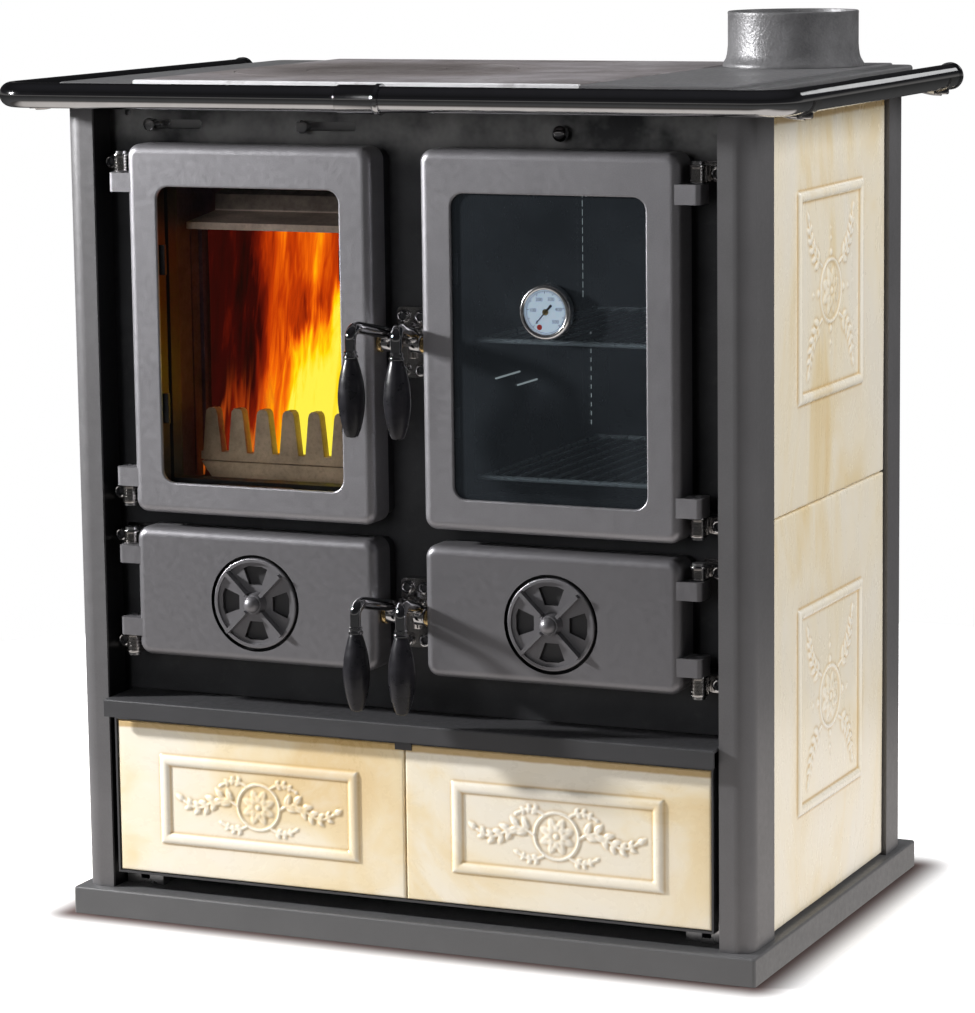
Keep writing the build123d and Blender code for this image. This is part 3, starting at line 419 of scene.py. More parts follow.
def flame_wall(name):
    g = Graph(name)
    x, z, t, v = flame_field(g)
    streak = g.noise(30, 3, 0.55, 0.9, vec=v)
    fine = g.noise(105, 3, 0.6, 0.5, vec=v)
    n = g.math("ADD", g.math("MULTIPLY", g.fit(streak, 0.28, 0.72, -0.5, 0.5), 0.42), g.math("MULTIPLY", g.fit(fine, 0.3, 0.7, -0.5, 0.5), 0.22))
    heat = g.math("ADD", 0.12, g.fit(t, 0.20, 0.62, 0.0, 0.40, smooth=True))
    heat = g.math("ADD", heat, g.fit(t, 0.62, 1.05, 0.0, 0.10))
    low = g.math("MULTIPLY", g.fit(z, 0.600, 0.470, 0.0, 0.30, smooth=True), g.fit(t, 0.08, 0.30))
    heat = g.math("ADD", heat, low)
    # the bright heart of the fire, higher to the right
    top = g.math("ADD", 0.598, g.math("MULTIPLY", g.math("SUBTRACT", t, 0.62), 0.16))
    top = g.math("ADD", top, g.math("MULTIPLY", n, 0.11))
    heart = g.math("MULTIPLY", g.fit(g.math("SUBTRACT", top, z), -0.016, 0.030, 0.0, 1.0, smooth=True), g.fit(g.math("ADD", t, g.math("MULTIPLY", n, 0.18)), 0.52, 0.66, 0.0, 1.0, smooth=True))
    heat = g.math("ADD", heat, g.math("MULTIPLY", heart, 0.30))
    heat = g.math("ADD", heat, g.math("MULTIPLY", n, g.fit(t, 0.0, 0.4, 0.35, 1.0)))
    col = g.ramp(heat, [(0.0, (0.010, 0.002, 0.001)), (0.16, (0.034, 0.002, 0.001)), (0.34, (0.20, 0.010, 0.001)), (0.50, (0.52, 0.042, 0.001)), (0.64, (0.86, 0.13, 0.002)),
                        (0.78, (1.0, 0.36, 0.002)), (0.88, (1.0, 0.70, 0.003)), (1.0, (1.0, 0.86, 0.07))])
    return g.done(g.node("ShaderNodeEmission", {"Color": col, "Strength": 1.12}).outputs[0])


def flame_lick(name):
    # thin bright tongues in front of the glow, mostly low and on the left
    g = Graph(name)
    x, z, t, v = flame_field(g)
    a = g.noise(34, 2, 0.5, 1.2, vec=v)
    ridge = g.math("SUBTRACT", 1.0, g.math("MULTIPLY", g.math("ABSOLUTE", g.math("SUBTRACT", a, 0.5)), 15.0), clamp=True)
    up = g.fit(g.math("ADD", z, g.math("MULTIPLY", g.noise(22, 2, 0.5, vec=v), -0.10)), 0.535, 0.415, 0.0, 1.0, smooth=True)
    side = g.fit(t, 0.62, 0.42, 0.0, 1.0, smooth=True)
    alpha = g.math("MULTIPLY", g.math("MULTIPLY", ridge, up), g.math("MULTIPLY", side, 0.85), clamp=True)
    col = g.ramp(g.math("ADD", g.math("MULTIPLY", up, 0.6), g.math("MULTIPLY", t, 0.5)), [(0.0, (0.20, 0.015, 0.002)), (0.45, (0.55, 0.075, 0.006)), (1.0, (0.90, 0.26, 0.02))])
    em = g.node("ShaderNodeEmission", {"Color": col, "Strength": 1.0}).outputs[0]
    tr = g.node("ShaderNodeBsdfTransparent").outputs[0]
    return g.done(g.node("ShaderNodeMixShader", {0: alpha, 1: tr, 2: em}).outputs[0])


# ------------------------------------------------------------ mesh helpers
PIECES = {}


def finish_piece(name, bm, mat, body, smooth=38.0, replaces=(), mats=None, weld=True):
    if weld:
        bmesh.ops.remove_doubles(bm, verts=bm.verts, dist=1e-7)
    bmesh.ops.recalc_face_normals(bm, faces=bm.faces)
    lim = math.radians(smooth)
    for f in bm.faces:
        f.smooth = True
    for e in bm.edges:
        if len(e.link_faces) == 2 and e.calc_face_angle(0.0) > lim:
            e.smooth = False
    me = bpy.data.meshes.new(name)
    bm.to_mesh(me)
    bm.free()
    ob = bpy.data.objects.new(name, me)
    scene.collection.objects.link(ob)
    for m in (mats or [mat]):
        me.materials.append(m)
    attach(ob, body)
    if replaces:
        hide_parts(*replaces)
    PIECES[name] = ob
    return ob


def add_box(bm, x0, x1, y0, y1, z0, z1, bevel=1.0, seg=2, only=None):
    # box in millimetres with all edges rounded, or only those along one axis
    vs = [bm.verts.new(Vector((x, y, z)) * MM) for x in (x0, x1) for y in (y0, y1) for z in (z0, z1)]
    idx = [(0, 1, 3, 2), (4, 6, 7, 5), (0, 4, 5, 1), (2, 3, 7, 6), (0, 2, 6, 4), (1, 5, 7, 3)]
    fs = [bm.faces.new([vs[i] for i in q]) for q in idx]
    if bevel > 0:
        es = list({e for f in fs for e in f.edges})
        if only is not None:
            es = [e for e in es if abs((e.verts[0].co - e.verts[1].co).normalized()[only]) > 0.9]
        bmesh.ops.bevel(bm, geom=es, offset=bevel * MM, segments=seg, profile=0.5, affect="EDGES", clamp_overlap=True)
    return fs


def ring_faces(bm, rings, close_u=True, cap0=True, cap1=True):
    for a, b in zip(rings[:-1], rings[1:]):
        n = len(a)
        for i in range(n if close_u else n - 1):
            j = (i + 1) % n
            q = [a[i], a[j], b[j], b[i]]
            q = [v for k, v in enumerate(q) if v not in q[:k]]
            if len(q) >= 3:
                try:
                    bm.faces.new(q)
                except ValueError:
                    pass
    if cap0 and len(set(rings[0])) > 2:
        bm.faces.new(list(reversed(rings[0])))
    if cap1 and len(set(rings[-1])) > 2:
        bm.faces.new(rings[-1])


AX = {"Z": lambda a, b, h: (a, b, h), "-Y": lambda a, b, h: (a, -h, b), "Y": lambda a, b, h: (-a, h, b), "X": lambda a, b, h: (h, a, b), "-Z": lambda a, b, h: (a, -b, -h)}


def add_lathe(bm, prof, at, axis="Z", seg=64, shape=None, phase=0.0, loop=False):
    # prof: (radius, height) in millimetres from the point at, along axis
    rings = []
    for r, h in prof:
        if r <= 1e-6:
            p = AX[axis](0.0, 0.0, h)
            v = bm.verts.new(((at[0] + p[0]) * MM, (at[1] + p[1]) * MM, (at[2] + p[2]) * MM))
            rings.append([v] * seg)
            continue
        ring = []
        for i in range(seg):
            t = 2 * math.pi * i / seg + phase
            rr = r * (shape(t, h) if shape else 1.0)
            p = AX[axis](rr * math.cos(t), rr * math.sin(t), h)
            ring.append(bm.verts.new(((at[0] + p[0]) * MM, (at[1] + p[1]) * MM, (at[2] + p[2]) * MM)))
        rings.append(ring)
    if loop:
        rings.append(rings[0])
        ring_faces(bm, rings, cap0=False, cap1=False)
    else:
        ring_faces(bm, rings)


def round_path(pts, radius, arc=14, run=2):
    # polyline with its corners turned into arcs
    pts = [Vector(p) for p in pts]
    out = [pts[0]]
    for i in range(1, len(pts) - 1):
        a, b, c = pts[i - 1], pts[i], pts[i + 1]
        u, w = (a - b).normalized(), (c - b).normalized()
        ang = u.angle(w)
        r = radius[i - 1] if isinstance(radius, (list, tuple)) else radius
        d = r / math.tan(ang / 2)
        s, e = b + u * d, b + w * d
        centre = b + (u + w).normalized() * (r / math.sin(ang / 2))
        p0, p1 = s - centre, e - centre
        tot = p0.angle(p1)
        ax = p0.cross(p1).normalized()
        from mathutils import Quaternion
        for k in range(1, run):
            out.append(out[-1].lerp(s, k / run)) if False else None
        for k in range(arc + 1):
            out.append(centre + Quaternion(ax, tot * k / arc) @ p0)
    out.append(pts[-1])
    return out


def add_tube(bm, pts, radius, seg=40, shape=None):
    # radius: number or a list, one for each point
    pts = [Vector(p) for p in pts]
    n = len(pts)
    tang = []
    for i in range(n):
        if i == 0:
            t = pts[1] - pts[0]
        elif i == n - 1:
            t = pts[-1] - pts[-2]
        else:
            t = (pts[i + 1] - pts[i]).normalized() + (pts[i] - pts[i - 1]).normalized()
        tang.append(t.normalized())
    up = Vector((0, 0, 1)) if abs(tang[0].z) < 0.9 else Vector((1, 0, 0))
    nrm = (up - tang[0] * up.dot(tang[0])).normalized()
    rings = []
    for i in range(n):
        nrm = (nrm - tang[i] * nrm.dot(tang[i])).normalized()
        bi = tang[i].cross(nrm)
        r = radius[i] if isinstance(radius, (list, tuple)) else radius
        rings.append([bm.verts.new((pts[i] + (nrm * math.cos(t) + bi * math.sin(t)) * r) * MM)
                      for t in (2 * math.pi * k / seg for k in range(seg))])
    ring_faces(bm, rings)


def add_prism(bm, poly, y0, y1, bevel=0.0, axis="Y", seg=2):
    # poly in (x, z), pushed from y0 to y1; axis "X": poly in (y, z); "Z": poly in (x, y)
    def P(a, b, h):
        return Vector((a, h, b)) * MM if axis == "Y" else (Vector((h, a, b)) * MM if axis == "X" else Vector((a, b, h)) * MM)
    lo = [bm.verts.new(P(a, b, y0)) for a, b in poly]
    hi = [bm.verts.new(P(a, b, y1)) for a, b in poly]
    fs = [bm.faces.new(lo), bm.faces.new(list(reversed(hi)))]
    n = len(poly)
    for i in range(n):
        j = (i + 1) % n
        fs.append(bm.faces.new([lo[i], hi[i], hi[j], lo[j]]))
    if bevel:
        es = list({e for f in fs[:2] for e in f.edges})
        bmesh.ops.bevel(bm, geom=es, offset=bevel * MM, segments=seg, profile=0.5, affect="EDGES", clamp_overlap=True)


def dress(node, *mats):
    # a new finish on a CAD piece, through its material slots
    o = NODES[node]
    ms = o.data.materials
    if len(ms) == 0:
        ms.append(mats[0])
    for i in range(len(ms)):
        ms[i] = mats[min(i, len(mats) - 1)]


# ----------------------------------------------------------------- tile relief
def rise(d, w):
    return np.sqrt(np.clip(1.0 - (d / w) ** 2, 0.0, None))


def leaf(A, B, x, y, ang, L, W, amp, vein=0.35, tip=0.78):
    ca, sa = math.cos(ang), math.sin(ang)
    u = (A - x) * ca + (B - y) * sa
    v = -(A - x) * sa + (B - y) * ca
    t = np.clip(u / L, 0.0, 1.0)
    w = W * np.sin(np.pi * t ** tip) ** 0.85 + 1e-6
    ok = (u > 0) & (u < L) & (np.abs(v) < w)
    q = np.clip(1.0 - (v / w) ** 2, 0.0, 1.0)
    h = amp * q ** 0.6 * (0.5 + 0.5 * np.sin(np.pi * t))
    h = h - amp * vein * np.exp(-(v / 0.75) ** 2) * q ** 0.3
    return np.where(ok, np.clip(h, 0.05, None), 0.0)


def stem(A, B, pts, w, amp):
    best = np.full(A.shape, 1e9)
    for p, q in zip(pts[:-1], pts[1:]):
        p, q = np.array(p), np.array(q)
        d = q - p
        L2 = float(d @ d) + 1e-9
        t = np.clip(((A - p[0]) * d[0] + (B - p[1]) * d[1]) / L2, 0, 1)
        dist = np.hypot(A - p[0] - t * d[0], B - p[1] - t * d[1])
        best = np.minimum(best, dist)
    return amp * rise(best, w)


def frame_bead(A, B, hw, hh, width, amp):
    q = np.maximum(np.abs(A) - (hw - width / 2), np.abs(B) - (hh - width / 2))
    h = amp * rise(np.abs(q), width / 2)
    return h


def rosette(A, B, x, y, R, amp, n=8):
    h = np.zeros(A.shape)
    for k in range(n):
        a = 2 * math.pi * (k + 0.5) / n
        h = np.maximum(h, leaf(A, B, x + 0.22 * R * math.cos(a), y + 0.22 * R * math.sin(a), a, R * 0.80, R * 0.24, amp * 0.70, 0.25, 1.15))
    for k in range(n):
        a = 2 * math.pi * k / n
        h = np.maximum(h, leaf(A, B, x + 0.1 * R * math.cos(a), y + 0.1 * R * math.sin(a), a, R * 0.62, R * 0.20, amp, 0.30, 1.1))
    d = np.hypot(A - x, B - y)
    return np.maximum(h, amp * 1.15 * rise(d, R * 0.20))


def sprig(A, B, pts, amp, leaf_l, leaf_w, start=0.12, count=6, spread=0.85):
    # a stem with paired leaves that get smaller to its tip
    pts = [np.array(p, float) for p in pts]
    seg = [0.0]
    for p, q in zip(pts[:-1], pts[1:]):
        seg.append(seg[-1] + float(np.hypot(*(q - p))))
    tot = seg[-1]

    def at(s):
        for i in range(len(pts) - 1):
            if s <= seg[i + 1] + 1e-9:
                k = (s - seg[i]) / (seg[i + 1] - seg[i])
                return pts[i] * (1 - k) + pts[i + 1] * k, math.atan2(*(pts[i + 1] - pts[i])[::-1])
        return pts[-1], math.atan2(*(pts[-1] - pts[-2])[::-1])
    h = stem(A, B, pts, 1.5, amp * 0.75)
    for i in range(count):
        f = start + (1 - start) * i / count
        p, a = at(f * tot)
        k = 1.0 - 0.45 * f
        for sd in (-1, 1):
            h = np.maximum(h, leaf(A, B, p[0], p[1], a + sd * spread, leaf_l * k, leaf_w * k, amp))
    p, a = at(tot)
    h = np.maximum(h, leaf(A, B, p[0], p[1], a, leaf_l * 0.75, leaf_w * 0.7, amp))
    return h


def curve_pts(fn, n=16):
    return [fn(i / n) for i in range(n + 1)]


def side_relief(A, B):
    hw, hh = 98.5, 104.5
    h = frame_bead(A, B, hw, hh, 11.0, 3.0)
    d = np.hypot(A, B)
    h = np.maximum(h, rosette(A, B, 0, 0, 25, 2.3))
    h = np.maximum(h, 1.5 * rise(np.abs(d - 31.0), 1.8))
    for sx in (-1, 1):
        for sy in (-1, 1):
            pts = curve_pts(lambda t: (sx * (26 + 40 * t + 6 * math.sin(math.pi * t)), sy * (26 + 46 * t - 6 * math.sin(math.pi * t))))
            h = np.maximum(h, sprig(A, B, pts, 2.1, 17.0, 4.6, 0.16, 5, 0.80))
    for a in range(4):
        t = a * math.pi / 2
        L = 62 if a % 2 == 0 else 68
        for k, (off, sc) in enumerate(((38, 1.0), (52, 0.7), (62, 0.45))):
            if off < L:
                h = np.maximum(h, 1.6 * sc * rise(np.hypot(A - off * math.cos(t), B - off * math.sin(t)), 4.0 * sc))
    return h


def drawer_relief(A, B):
    h = frame_bead(A, B, 112.5, 46.5, 11.0, 3.0)
    h = np.maximum(h, rosette(A, B, 0, 0, 19, 2.3))
    d = np.hypot(A, B)
    h = np.maximum(h, 1.4 * rise(np.abs(d - 23.5), 1.6))
    for s in (-1, 1):
        pts = curve_pts(lambda t: (s * (25 + 60 * t), 5.5 * math.sin(2.0 * math.pi * t) * 1.1))
        h = np.maximum(h, sprig(A, B, pts, 2.1, 16.0, 4.4, 0.10, 6, 0.72))
        for sy in (-1, 1):
            pts = curve_pts(lambda t: (s * (14 + 26 * t), sy * (21 + 4.5 * math.sin(math.pi * t))), 10)
            h = np.maximum(h, sprig(A, B, pts, 1.7, 9.0, 2.8, 0.25, 3, 0.75))
    return h


def smooth2(h, times=2):
    for _ in range(times):
        p = np.pad(h, 1, mode="edge")
        h = (p[1:-1, 1:-1] * 4 + p[:-2, 1:-1] * 2 + p[2:, 1:-1] * 2 + p[1:-1, :-2] * 2 + p[1:-1, 2:] * 2
             + p[:-2, :-2] + p[:-2, 2:] + p[2:, :-2] + p[2:, 2:]) / 16.0
    return h


def tile_piece(name, U, V, uc, vc, hu, hv, relief, place, back, mat, body, step=1.0, replaces=()):
    # U, V: tile's outline (lo, hi) in its own plane; the relief is centred at (uc, vc) and reaches hu, hv each way
    def lines(lo, hi, c, half):
        a = [0.0, 0.25, 0.6, 1.1, 1.8, 2.6]
        d0, d1 = c - half - 3, min(c + half + 3, hi - 3.0)
        dense = list(np.arange(d0, d1 + 1e-6, step))
        left = list(np.linspace(lo + 2.6, d0, 8))[1:-1]
        right = list(np.linspace(dense[-1], hi - 2.6, 8))[1:-1] if hi - 2.6 - dense[-1] > 1.5 else []
        return np.array([lo + x for x in a] + left + dense + right + [hi - x for x in reversed(a)])
    us, vs = lines(*U, uc, hu), lines(*V, vc, hv)
    A, B = np.meshgrid(us - uc, vs - vc, indexing="ij")
    h = smooth2(relief(A, B), 1)
    blur = smooth2(h, 7)
    pool = np.clip((blur - h) * 1.9, 0, 1)
    thin = np.clip((h - blur) * 1.5, 0, 1)
    UU, VV = A + uc, B + vc
    d = np.minimum(np.minimum(UU - U[0], U[1] - UU), np.minimum(VV - V[0], V[1] - VV))
    r = 2.4
    drop = np.where(d < r, r - np.sqrt(np.clip(r * r - (r - d) ** 2, 0, None)), 0.0)
    # slow waves in the pressed face
    wave = 0.18 * np.sin(UU * 0.021 + 1.3) * np.sin(VV * 0.017 + 0.4)
    h = h + wave - drop
    nu, nv = h.shape
    verts, faces = [], []
    for i in range(nu):
        for j in range(nv):
            verts.append(place(UU[i, j], VV[i, j], h[i, j]))
    for i in range(nu - 1):
        for j in range(nv - 1):
            a = i * nv + j
            faces.append((a, a + nv, a + nv + 1, a + 1))
    rim = [(i, 0) for i in range(nu)] + [(nu - 1, j) for j in range(1, nv)] + [(i, nv - 1) for i in range(nu - 2, -1, -1)] + [(0, j) for j in range(nv - 2, 0, -1)]
    base = len(verts)
    for i, j in rim:
        verts.append(place(UU[i, j], VV[i, j], back))
    m = len(rim)
    for k in range(m):
        a, b = rim[k][0] * nv + rim[k][1], rim[(k + 1) % m][0] * nv + rim[(k + 1) % m][1]
        faces.append((a, base + k, base + (k + 1) % m, b))
    centre = len(verts)
    verts.append(place((U[0] + U[1]) / 2, (V[0] + V[1]) / 2, back))
    for k in range(m):
        faces.append((base + k, centre, base + (k + 1) % m))
    me = bpy.data.meshes.new(name)
    me.from_pydata([(x * MM, y * MM, z * MM) for x, y, z in verts], [], faces)
    extra = m + 1
    for an, arr in (("pool", pool), ("thin", thin)):
        at = me.attributes.new(an, "FLOAT", "POINT")
        at.data.foreach_set("value", np.concatenate([arr.ravel(), np.zeros(extra)]).astype(np.float32))
    bm = bmesh.new()
    bm.from_mesh(me)
    bmesh.ops.recalc_face_normals(bm, faces=bm.faces)
    for f in bm.faces:
        f.smooth = True
    for e in bm.edges:
        if len(e.link_faces) == 2 and e.calc_face_angle(0.0) > 1.2:
            e.smooth = False
    bm.to_mesh(me)
    bm.free()
    ob = bpy.data.objects.new(name, me)
    scene.collection.objects.link(ob)
    me.materials.append(mat)
    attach(ob, body)
    if replaces:
        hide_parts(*replaces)
    PIECES[name] = ob
    return ob


TILES = [("lower", (31.5, 439.2), 235.5), ("upper", (440.8, 828.5), 646.0)]
k = 0
# upper side tiles and drawer tiles get a painted shadow along their top edge through top; the lower side tiles get none
for sx, sn in ((1, "right"), (-1, "left")):
    for tn, zz, zc in TILES:
        k += 1
        tile_piece(f"side_tile_{sn}_{tn}", (-170, 170), zz, 0.0, zc, 98.5, 104.5, side_relief,
                   lambda u, v, h, sx=sx: (sx * (364.0 + h), u, v), -10.0, glaze(f"glaze_{sn}_{tn}", 3.1 * k, top=0.8285 if tn == "upper" else 9.0), "cookstove",
                   1.0, ("side_tiles",) if k == 1 else ())
for sx, sn in ((-1, "left"), (1, "right")):
    k += 1
    tile_piece(f"drawer_tile_{sn}", (0.8, 325.4) if sx > 0 else (-325.4, -0.8), (47.6, 205.9), sx * 164.0, 126.75, 112.5, 46.5, drawer_relief,
               lambda u, v, h: (u, -236.2 - h, v), -10.6, glaze(f"glaze_drawer_{sn}", 3.1 * k + 1.3, vertical=False, top=0.2059, band=0.007), "wood_drawer",
               0.9, ("drawer_tiles",) if sx < 0 else ())

# ------------------------------------------------------------------ the rail
RX, RY, RZ, RR, RB = 412.0, -286.0, 846.0, 12.5, 234.0
for s, nm, xe in ((-1, "left", -11.2), (1, "right", -10.8)):
    bm = bmesh.new()
    path = round_path([(s * RX, RB, RZ), (s * RX, RY, RZ), (xe, RY, RZ)], 34.0, arc=28)
    add_tube(bm, path, RR, seg=72)
    finish_piece(f"rail_tube_{nm}", bm, M["chrome"], "cookstove", replaces=(f"rail_{nm}",))
bm = bmesh.new()
prof = [(12.6, 0.0), (13.6, 0.0), (13.9, 0.6), (13.9, 39.5), (14.4, 40.2), (15.1, 41.2), (15.1, 45.2), (14.5, 46.0), (12.6, 46.0)]
add_lathe(bm, prof, (-34.0, RY, RZ), "X", 72, loop=True)
for s in (-1, 1):
    # turned end knuckle: collar, neck and ball
    prof = [(0.0, 0.2), (13.9, 0.2), (14.1, 1.0), (14.1, 5.0), (13.2, 6.2), (11.2, 6.8), (10.6, 7.6)]
    prof += [(11.5 * math.cos(t), 8.0 + 11.5 * math.sin(t)) for t in (x * D2R for x in (8, 22, 36, 50, 64, 78))] + [(0.0, 19.5)]
    add_lathe(bm, prof, (s * RX, RB, RZ), "Y", 48)
finish_piece("rail_sleeve_and_knuckles", bm, M["chrome"], "cookstove", replaces=("rail_fittings",))
bm = bmesh.new()
for s in (-1, 1):
    for y in (-214.0, 208.0):
        x0, x1 = sorted((s * 372.4, s * 377.0))
        add_box(bm, x0, x1, y - 14.5, y + 14.5, 832.7, 852.8, 1.6)
        # curved arm under the rail
        pts = [(s * 375, y, 838), (s * 390, y, 834.5), (s * 402, y, 832.0), (s * RX, y, 831.6)]
        add_tube(bm, round_path(pts, [30, 40], 6), 4.6, 20)
        add_lathe(bm, [(0, -3.4), (7.0, -3.2), (7.9, -2.2), (7.9, 1.5), (6.4, 4.0), (0, 4.0)], (s * RX, y, 832), "Z", 32)
        # saddle that holds the tube
        n = 14
        lo, hi = [], []
        for i in range(n + 1):
            t = math.pi + math.pi * i / n
            lo.append((s * RX + 13.9 * math.cos(t), RZ + 13.9 * math.sin(t)))
            hi.append((s * RX + 12.6 * math.cos(t), RZ + 12.6 * math.sin(t)))
        add_prism(bm, lo + hi[::-1], y - 9.0, y + 9.0)
        for dy in (-8.5, 8.5):
            add_lathe(bm, [(0, -1.4), (2.4, -1.3), (2.9, -0.5), (2.9, 0.4), (0, 0.4)], (s * 377.4, y + dy, 842.5), "X", 20) if s > 0 else \
                add_lathe(bm, [(0, -0.4), (2.9, -0.4), (2.9, 0.5), (2.4, 1.3), (0, 1.4)], (s * 377.4, y + dy, 842.5), "X", 20)
finish_piece("rail_bracket_set", bm, M["chrome_soft"], "cookstove", replaces=("rail_brackets",))

# ------------------------------------------------------------------ the hob
RC = (-128.0, -6.0)


def plate_with_hole(bm, x0, x1, y0, y1, z0, z1, c, r_top, r_in, z_step, bev=0.8, seg=144):
    # rectangular plate, bevelled rim, round stepped opening
    ang = {round(2 * math.pi * i / seg, 9) for i in range(seg)}
    for x in (x0, x1):
        for y in (y0, y1):
            ang.add(round(math.atan2(y - c[1], x - c[0]) % (2 * math.pi), 9))
    ang = sorted(ang)

    def hit(t, ins):
        dx, dy = math.cos(t), math.sin(t)
        s = []
        if abs(dx) > 1e-9:
            s.append(((x1 - ins if dx > 0 else x0 + ins) - c[0]) / dx)
        if abs(dy) > 1e-9:
            s.append(((y1 - ins if dy > 0 else y0 + ins) - c[1]) / dy)
        s = min(s)
        return c[0] + dx * s, c[1] + dy * s

    def ring(fn, z):
        return [bm.verts.new((fn(t)[0] * MM, fn(t)[1] * MM, z * MM)) for t in ang]
    circ = lambda r: (lambda t: (c[0] + r * math.cos(t), c[1] + r * math.sin(t)))
    rings = [ring(circ(r_in), z0), ring(circ(r_in), z_step), ring(circ(r_top), z_step), ring(circ(r_top), z1 - 0.4), ring(circ(r_top + 0.4), z1)]
    for f in (0.35, 0.7):
        rings.append(ring(lambda t, f=f: tuple(a * (1 - f) + b * f for a, b in zip(circ(r_top + 0.4)(t), hit(t, bev))), z1))
    rings += [ring(lambda t: hit(t, bev), z1), ring(lambda t: hit(t, 0), z1 - bev), ring(lambda t: hit(t, 0), z0)]
    rings.append(rings[0])
    ring_faces(bm, rings, cap0=False, cap1=False)


bm = bmesh.new()
plate_with_hole(bm, -283.4, 197.4, -243.5, 221.4, 846, 860, RC, 147.6, 138.0, 853.0, 1.2)
finish_piece("hob_ground_plate", bm, M["ground"], "cookstove", replaces=("hob_plate",))
bm = bmesh.new()
add_lathe(bm, [(64.0, 853.4), (146.4, 853.4), (147.0, 854.0), (147.0, 859.2), (146.3, 860.0), (110.0, 860.0), (73.3, 860.0), (72.6, 859.4), (72.6, 856.4), (64.0, 856.4)], (RC[0], RC[1], 0), "Z", 144, loop=True)
finish_piece("hob_ring_plate", bm, M["ground"], "hob_ring", replaces=("hob_ring",))


def lid_mesh(bm):
    # round lid with an oval lifter hole
    seg = 96
    hx, hy = 43.0, 0.0
    rings = []
    oval = lambda t, g: (hx + (11 + g) * math.cos(t) * 0.98, hy + (4.9 + g) * math.sin(t))
    circ = lambda t, r: (r * math.cos(math.atan2(math.sin(t) * 4.9 + 0, math.cos(t) * 11 + hx)), r * math.sin(math.atan2(math.sin(t) * 4.9, math.cos(t) * 11 + hx)))

    def outer(t, r):
        # ray from the hole's centre out to the circle of radius r
        dx, dy = math.cos(t), math.sin(t)
        b = hx * dx + hy * dy
        s = -b + math.sqrt(b * b - (hx * hx + hy * hy - r * r))
        return hx + dx * s, hy + dy * s
    for fn, z in ((lambda t: oval(t, 0), 856.9), (lambda t: oval(t, 0), 859.5), (lambda t: oval(t, 0.5), 860.0),
                  (lambda t: outer(t, 71.3), 860.0), (lambda t: outer(t, 72.0), 859.4), (lambda t: outer(t, 72.0), 856.9)):
        rings.append([bm.verts.new(((RC[0] + fn(2 * math.pi * i / seg)[0]) * MM, (RC[1] + fn(2 * math.pi * i / seg)[1]) * MM, z * MM)) for i in range(seg)])
    rings.append(rings[0])
    ring_faces(bm, rings, cap0=False, cap1=False)


bm = bmesh.new()
lid_mesh(bm)
finish_piece("hob_lid_plate", bm, M["ground"], "hob_lid", replaces=("hob_lid",))
CC = (271.5, 150.0)
bm = bmesh.new()
prof = [(65.3, 859.7), (72.3, 859.7), (72.5, 862.2), (71.4, 864.2), (69.4, 867.5), (68.2, 871.5), (67.5, 876), (67.0, 882), (67.0, 912.6), (67.25, 914.2), (66.9, 915.5), (66.2, 916.0), (65.6, 915.8), (65.3, 915.0)]
add_lathe(bm, prof, (CC[0], CC[1], 0), "Z", 128, loop=True)
finish_piece("flue_collar_casting", bm, M["collar"], "cookstove", replaces=("flue_collar",))

# ------------------------------------------------------------------- hinges
HX, HY = 309.0, -224.0
HINGES = [(748.0, 767.0, 767.5, 785.0), (450.0, 469.0, 431.0, 449.5), (370.5, 388.5, 389.0, 402.5), (296.0, 314.0, 276.0, 295.5)]
bm = bmesh.new()
for s in (-1, 1):
    for e0, e1, k0, k1 in HINGES:
        hgt = k1 - k0
        # ribbed barrel with a small flange at each end
        n = 4
        prof = [(4.06, 0), (8.3, 0), (8.6, 0.5), (8.6, 1.8), (7.5, 2.3)]
        for i in range(n):
            a = 2.6 + (hgt - 5.2) * i / n
            b = 2.6 + (hgt - 5.2) * (i + 1) / n
            prof += [(7.5, a + 0.2), (8.1, a + 0.7), (8.1, b - 0.7), (7.5, b - 0.2)]
        prof += [(7.5, hgt - 2.3), (8.6, hgt - 1.8), (8.6, hgt - 0.5), (8.3, hgt), (4.06, hgt)]
        add_lathe(bm, prof, (s * HX, HY, k0), "Z", 36, loop=True)
        x0, x1 = sorted((s * (HX - 6.5), s * (HX + 7.5)))
        add_box(bm, x0, x1, HY + 6.0, -190.4, k0 + 0.6, k1 - 0.6, 1.2)
        x0, x1 = sorted((s * (HX + 7.0), s * 332.4))
        add_box(bm, x0, x1, -211.0, -190.2, k0 + 0.4, k1 - 0.4, 1.6)
        x0, x1 = sorted((s * (HX - 7), s * 332.4))
        add_box(bm, x0, x1, -190.6, -186.2, k0 - 1.4, k1 + 1.4, 0.9)
finish_piece("hinge_bracket_set", bm, M["chrome_soft"], "cookstove", replaces=("hinge_brackets",))
bm = bmesh.new()
for s in (-1, 1):
    for e0, e1, k0, k1 in HINGES:
        # ring-headed screw beside each barrel
        zc = (k0 + k1) / 2
        prof = [(3.5, 0.2), (6.1, 0.1), (6.9, 0.8), (7.0, 2.2), (6.5, 3.6), (6.9, 4.6), (6.3, 6.0), (5.0, 6.5), (4.2, 6.1), (3.8, 5.2), (3.5, 3.0)]
        add_lathe(bm, prof, (s * 325.8, -211.1, zc), "-Y", 40, loop=True)
for zp in (605.0, 334.0):
    for s in (-1, 1):
        for z in (zp + 24, zp - 29):
            prof = [(3.5, 0.2), (6.0, 0.1), (6.5, 0.8), (6.5, 3.2), (5.7, 4.5), (4.6, 4.9), (4.0, 4.5), (3.5, 3.4)]
            add_lathe(bm, prof, (s * 9.5, -200.1, z), "-Y", 36, loop=True)
finish_piece("screw_rims", bm, M["chrome"], "cookstove", replaces=("front_screws",))
bm = bmesh.new()
for s in (-1, 1):
    for e0, e1, k0, k1 in HINGES:
        zc = (k0 + k1) / 2
        add_lathe(bm, [(0, 0.2), (3.45, 0.2), (3.45, 2.0), (0, 2.0)], (s * 325.8, -211.1, zc), "-Y", 6)
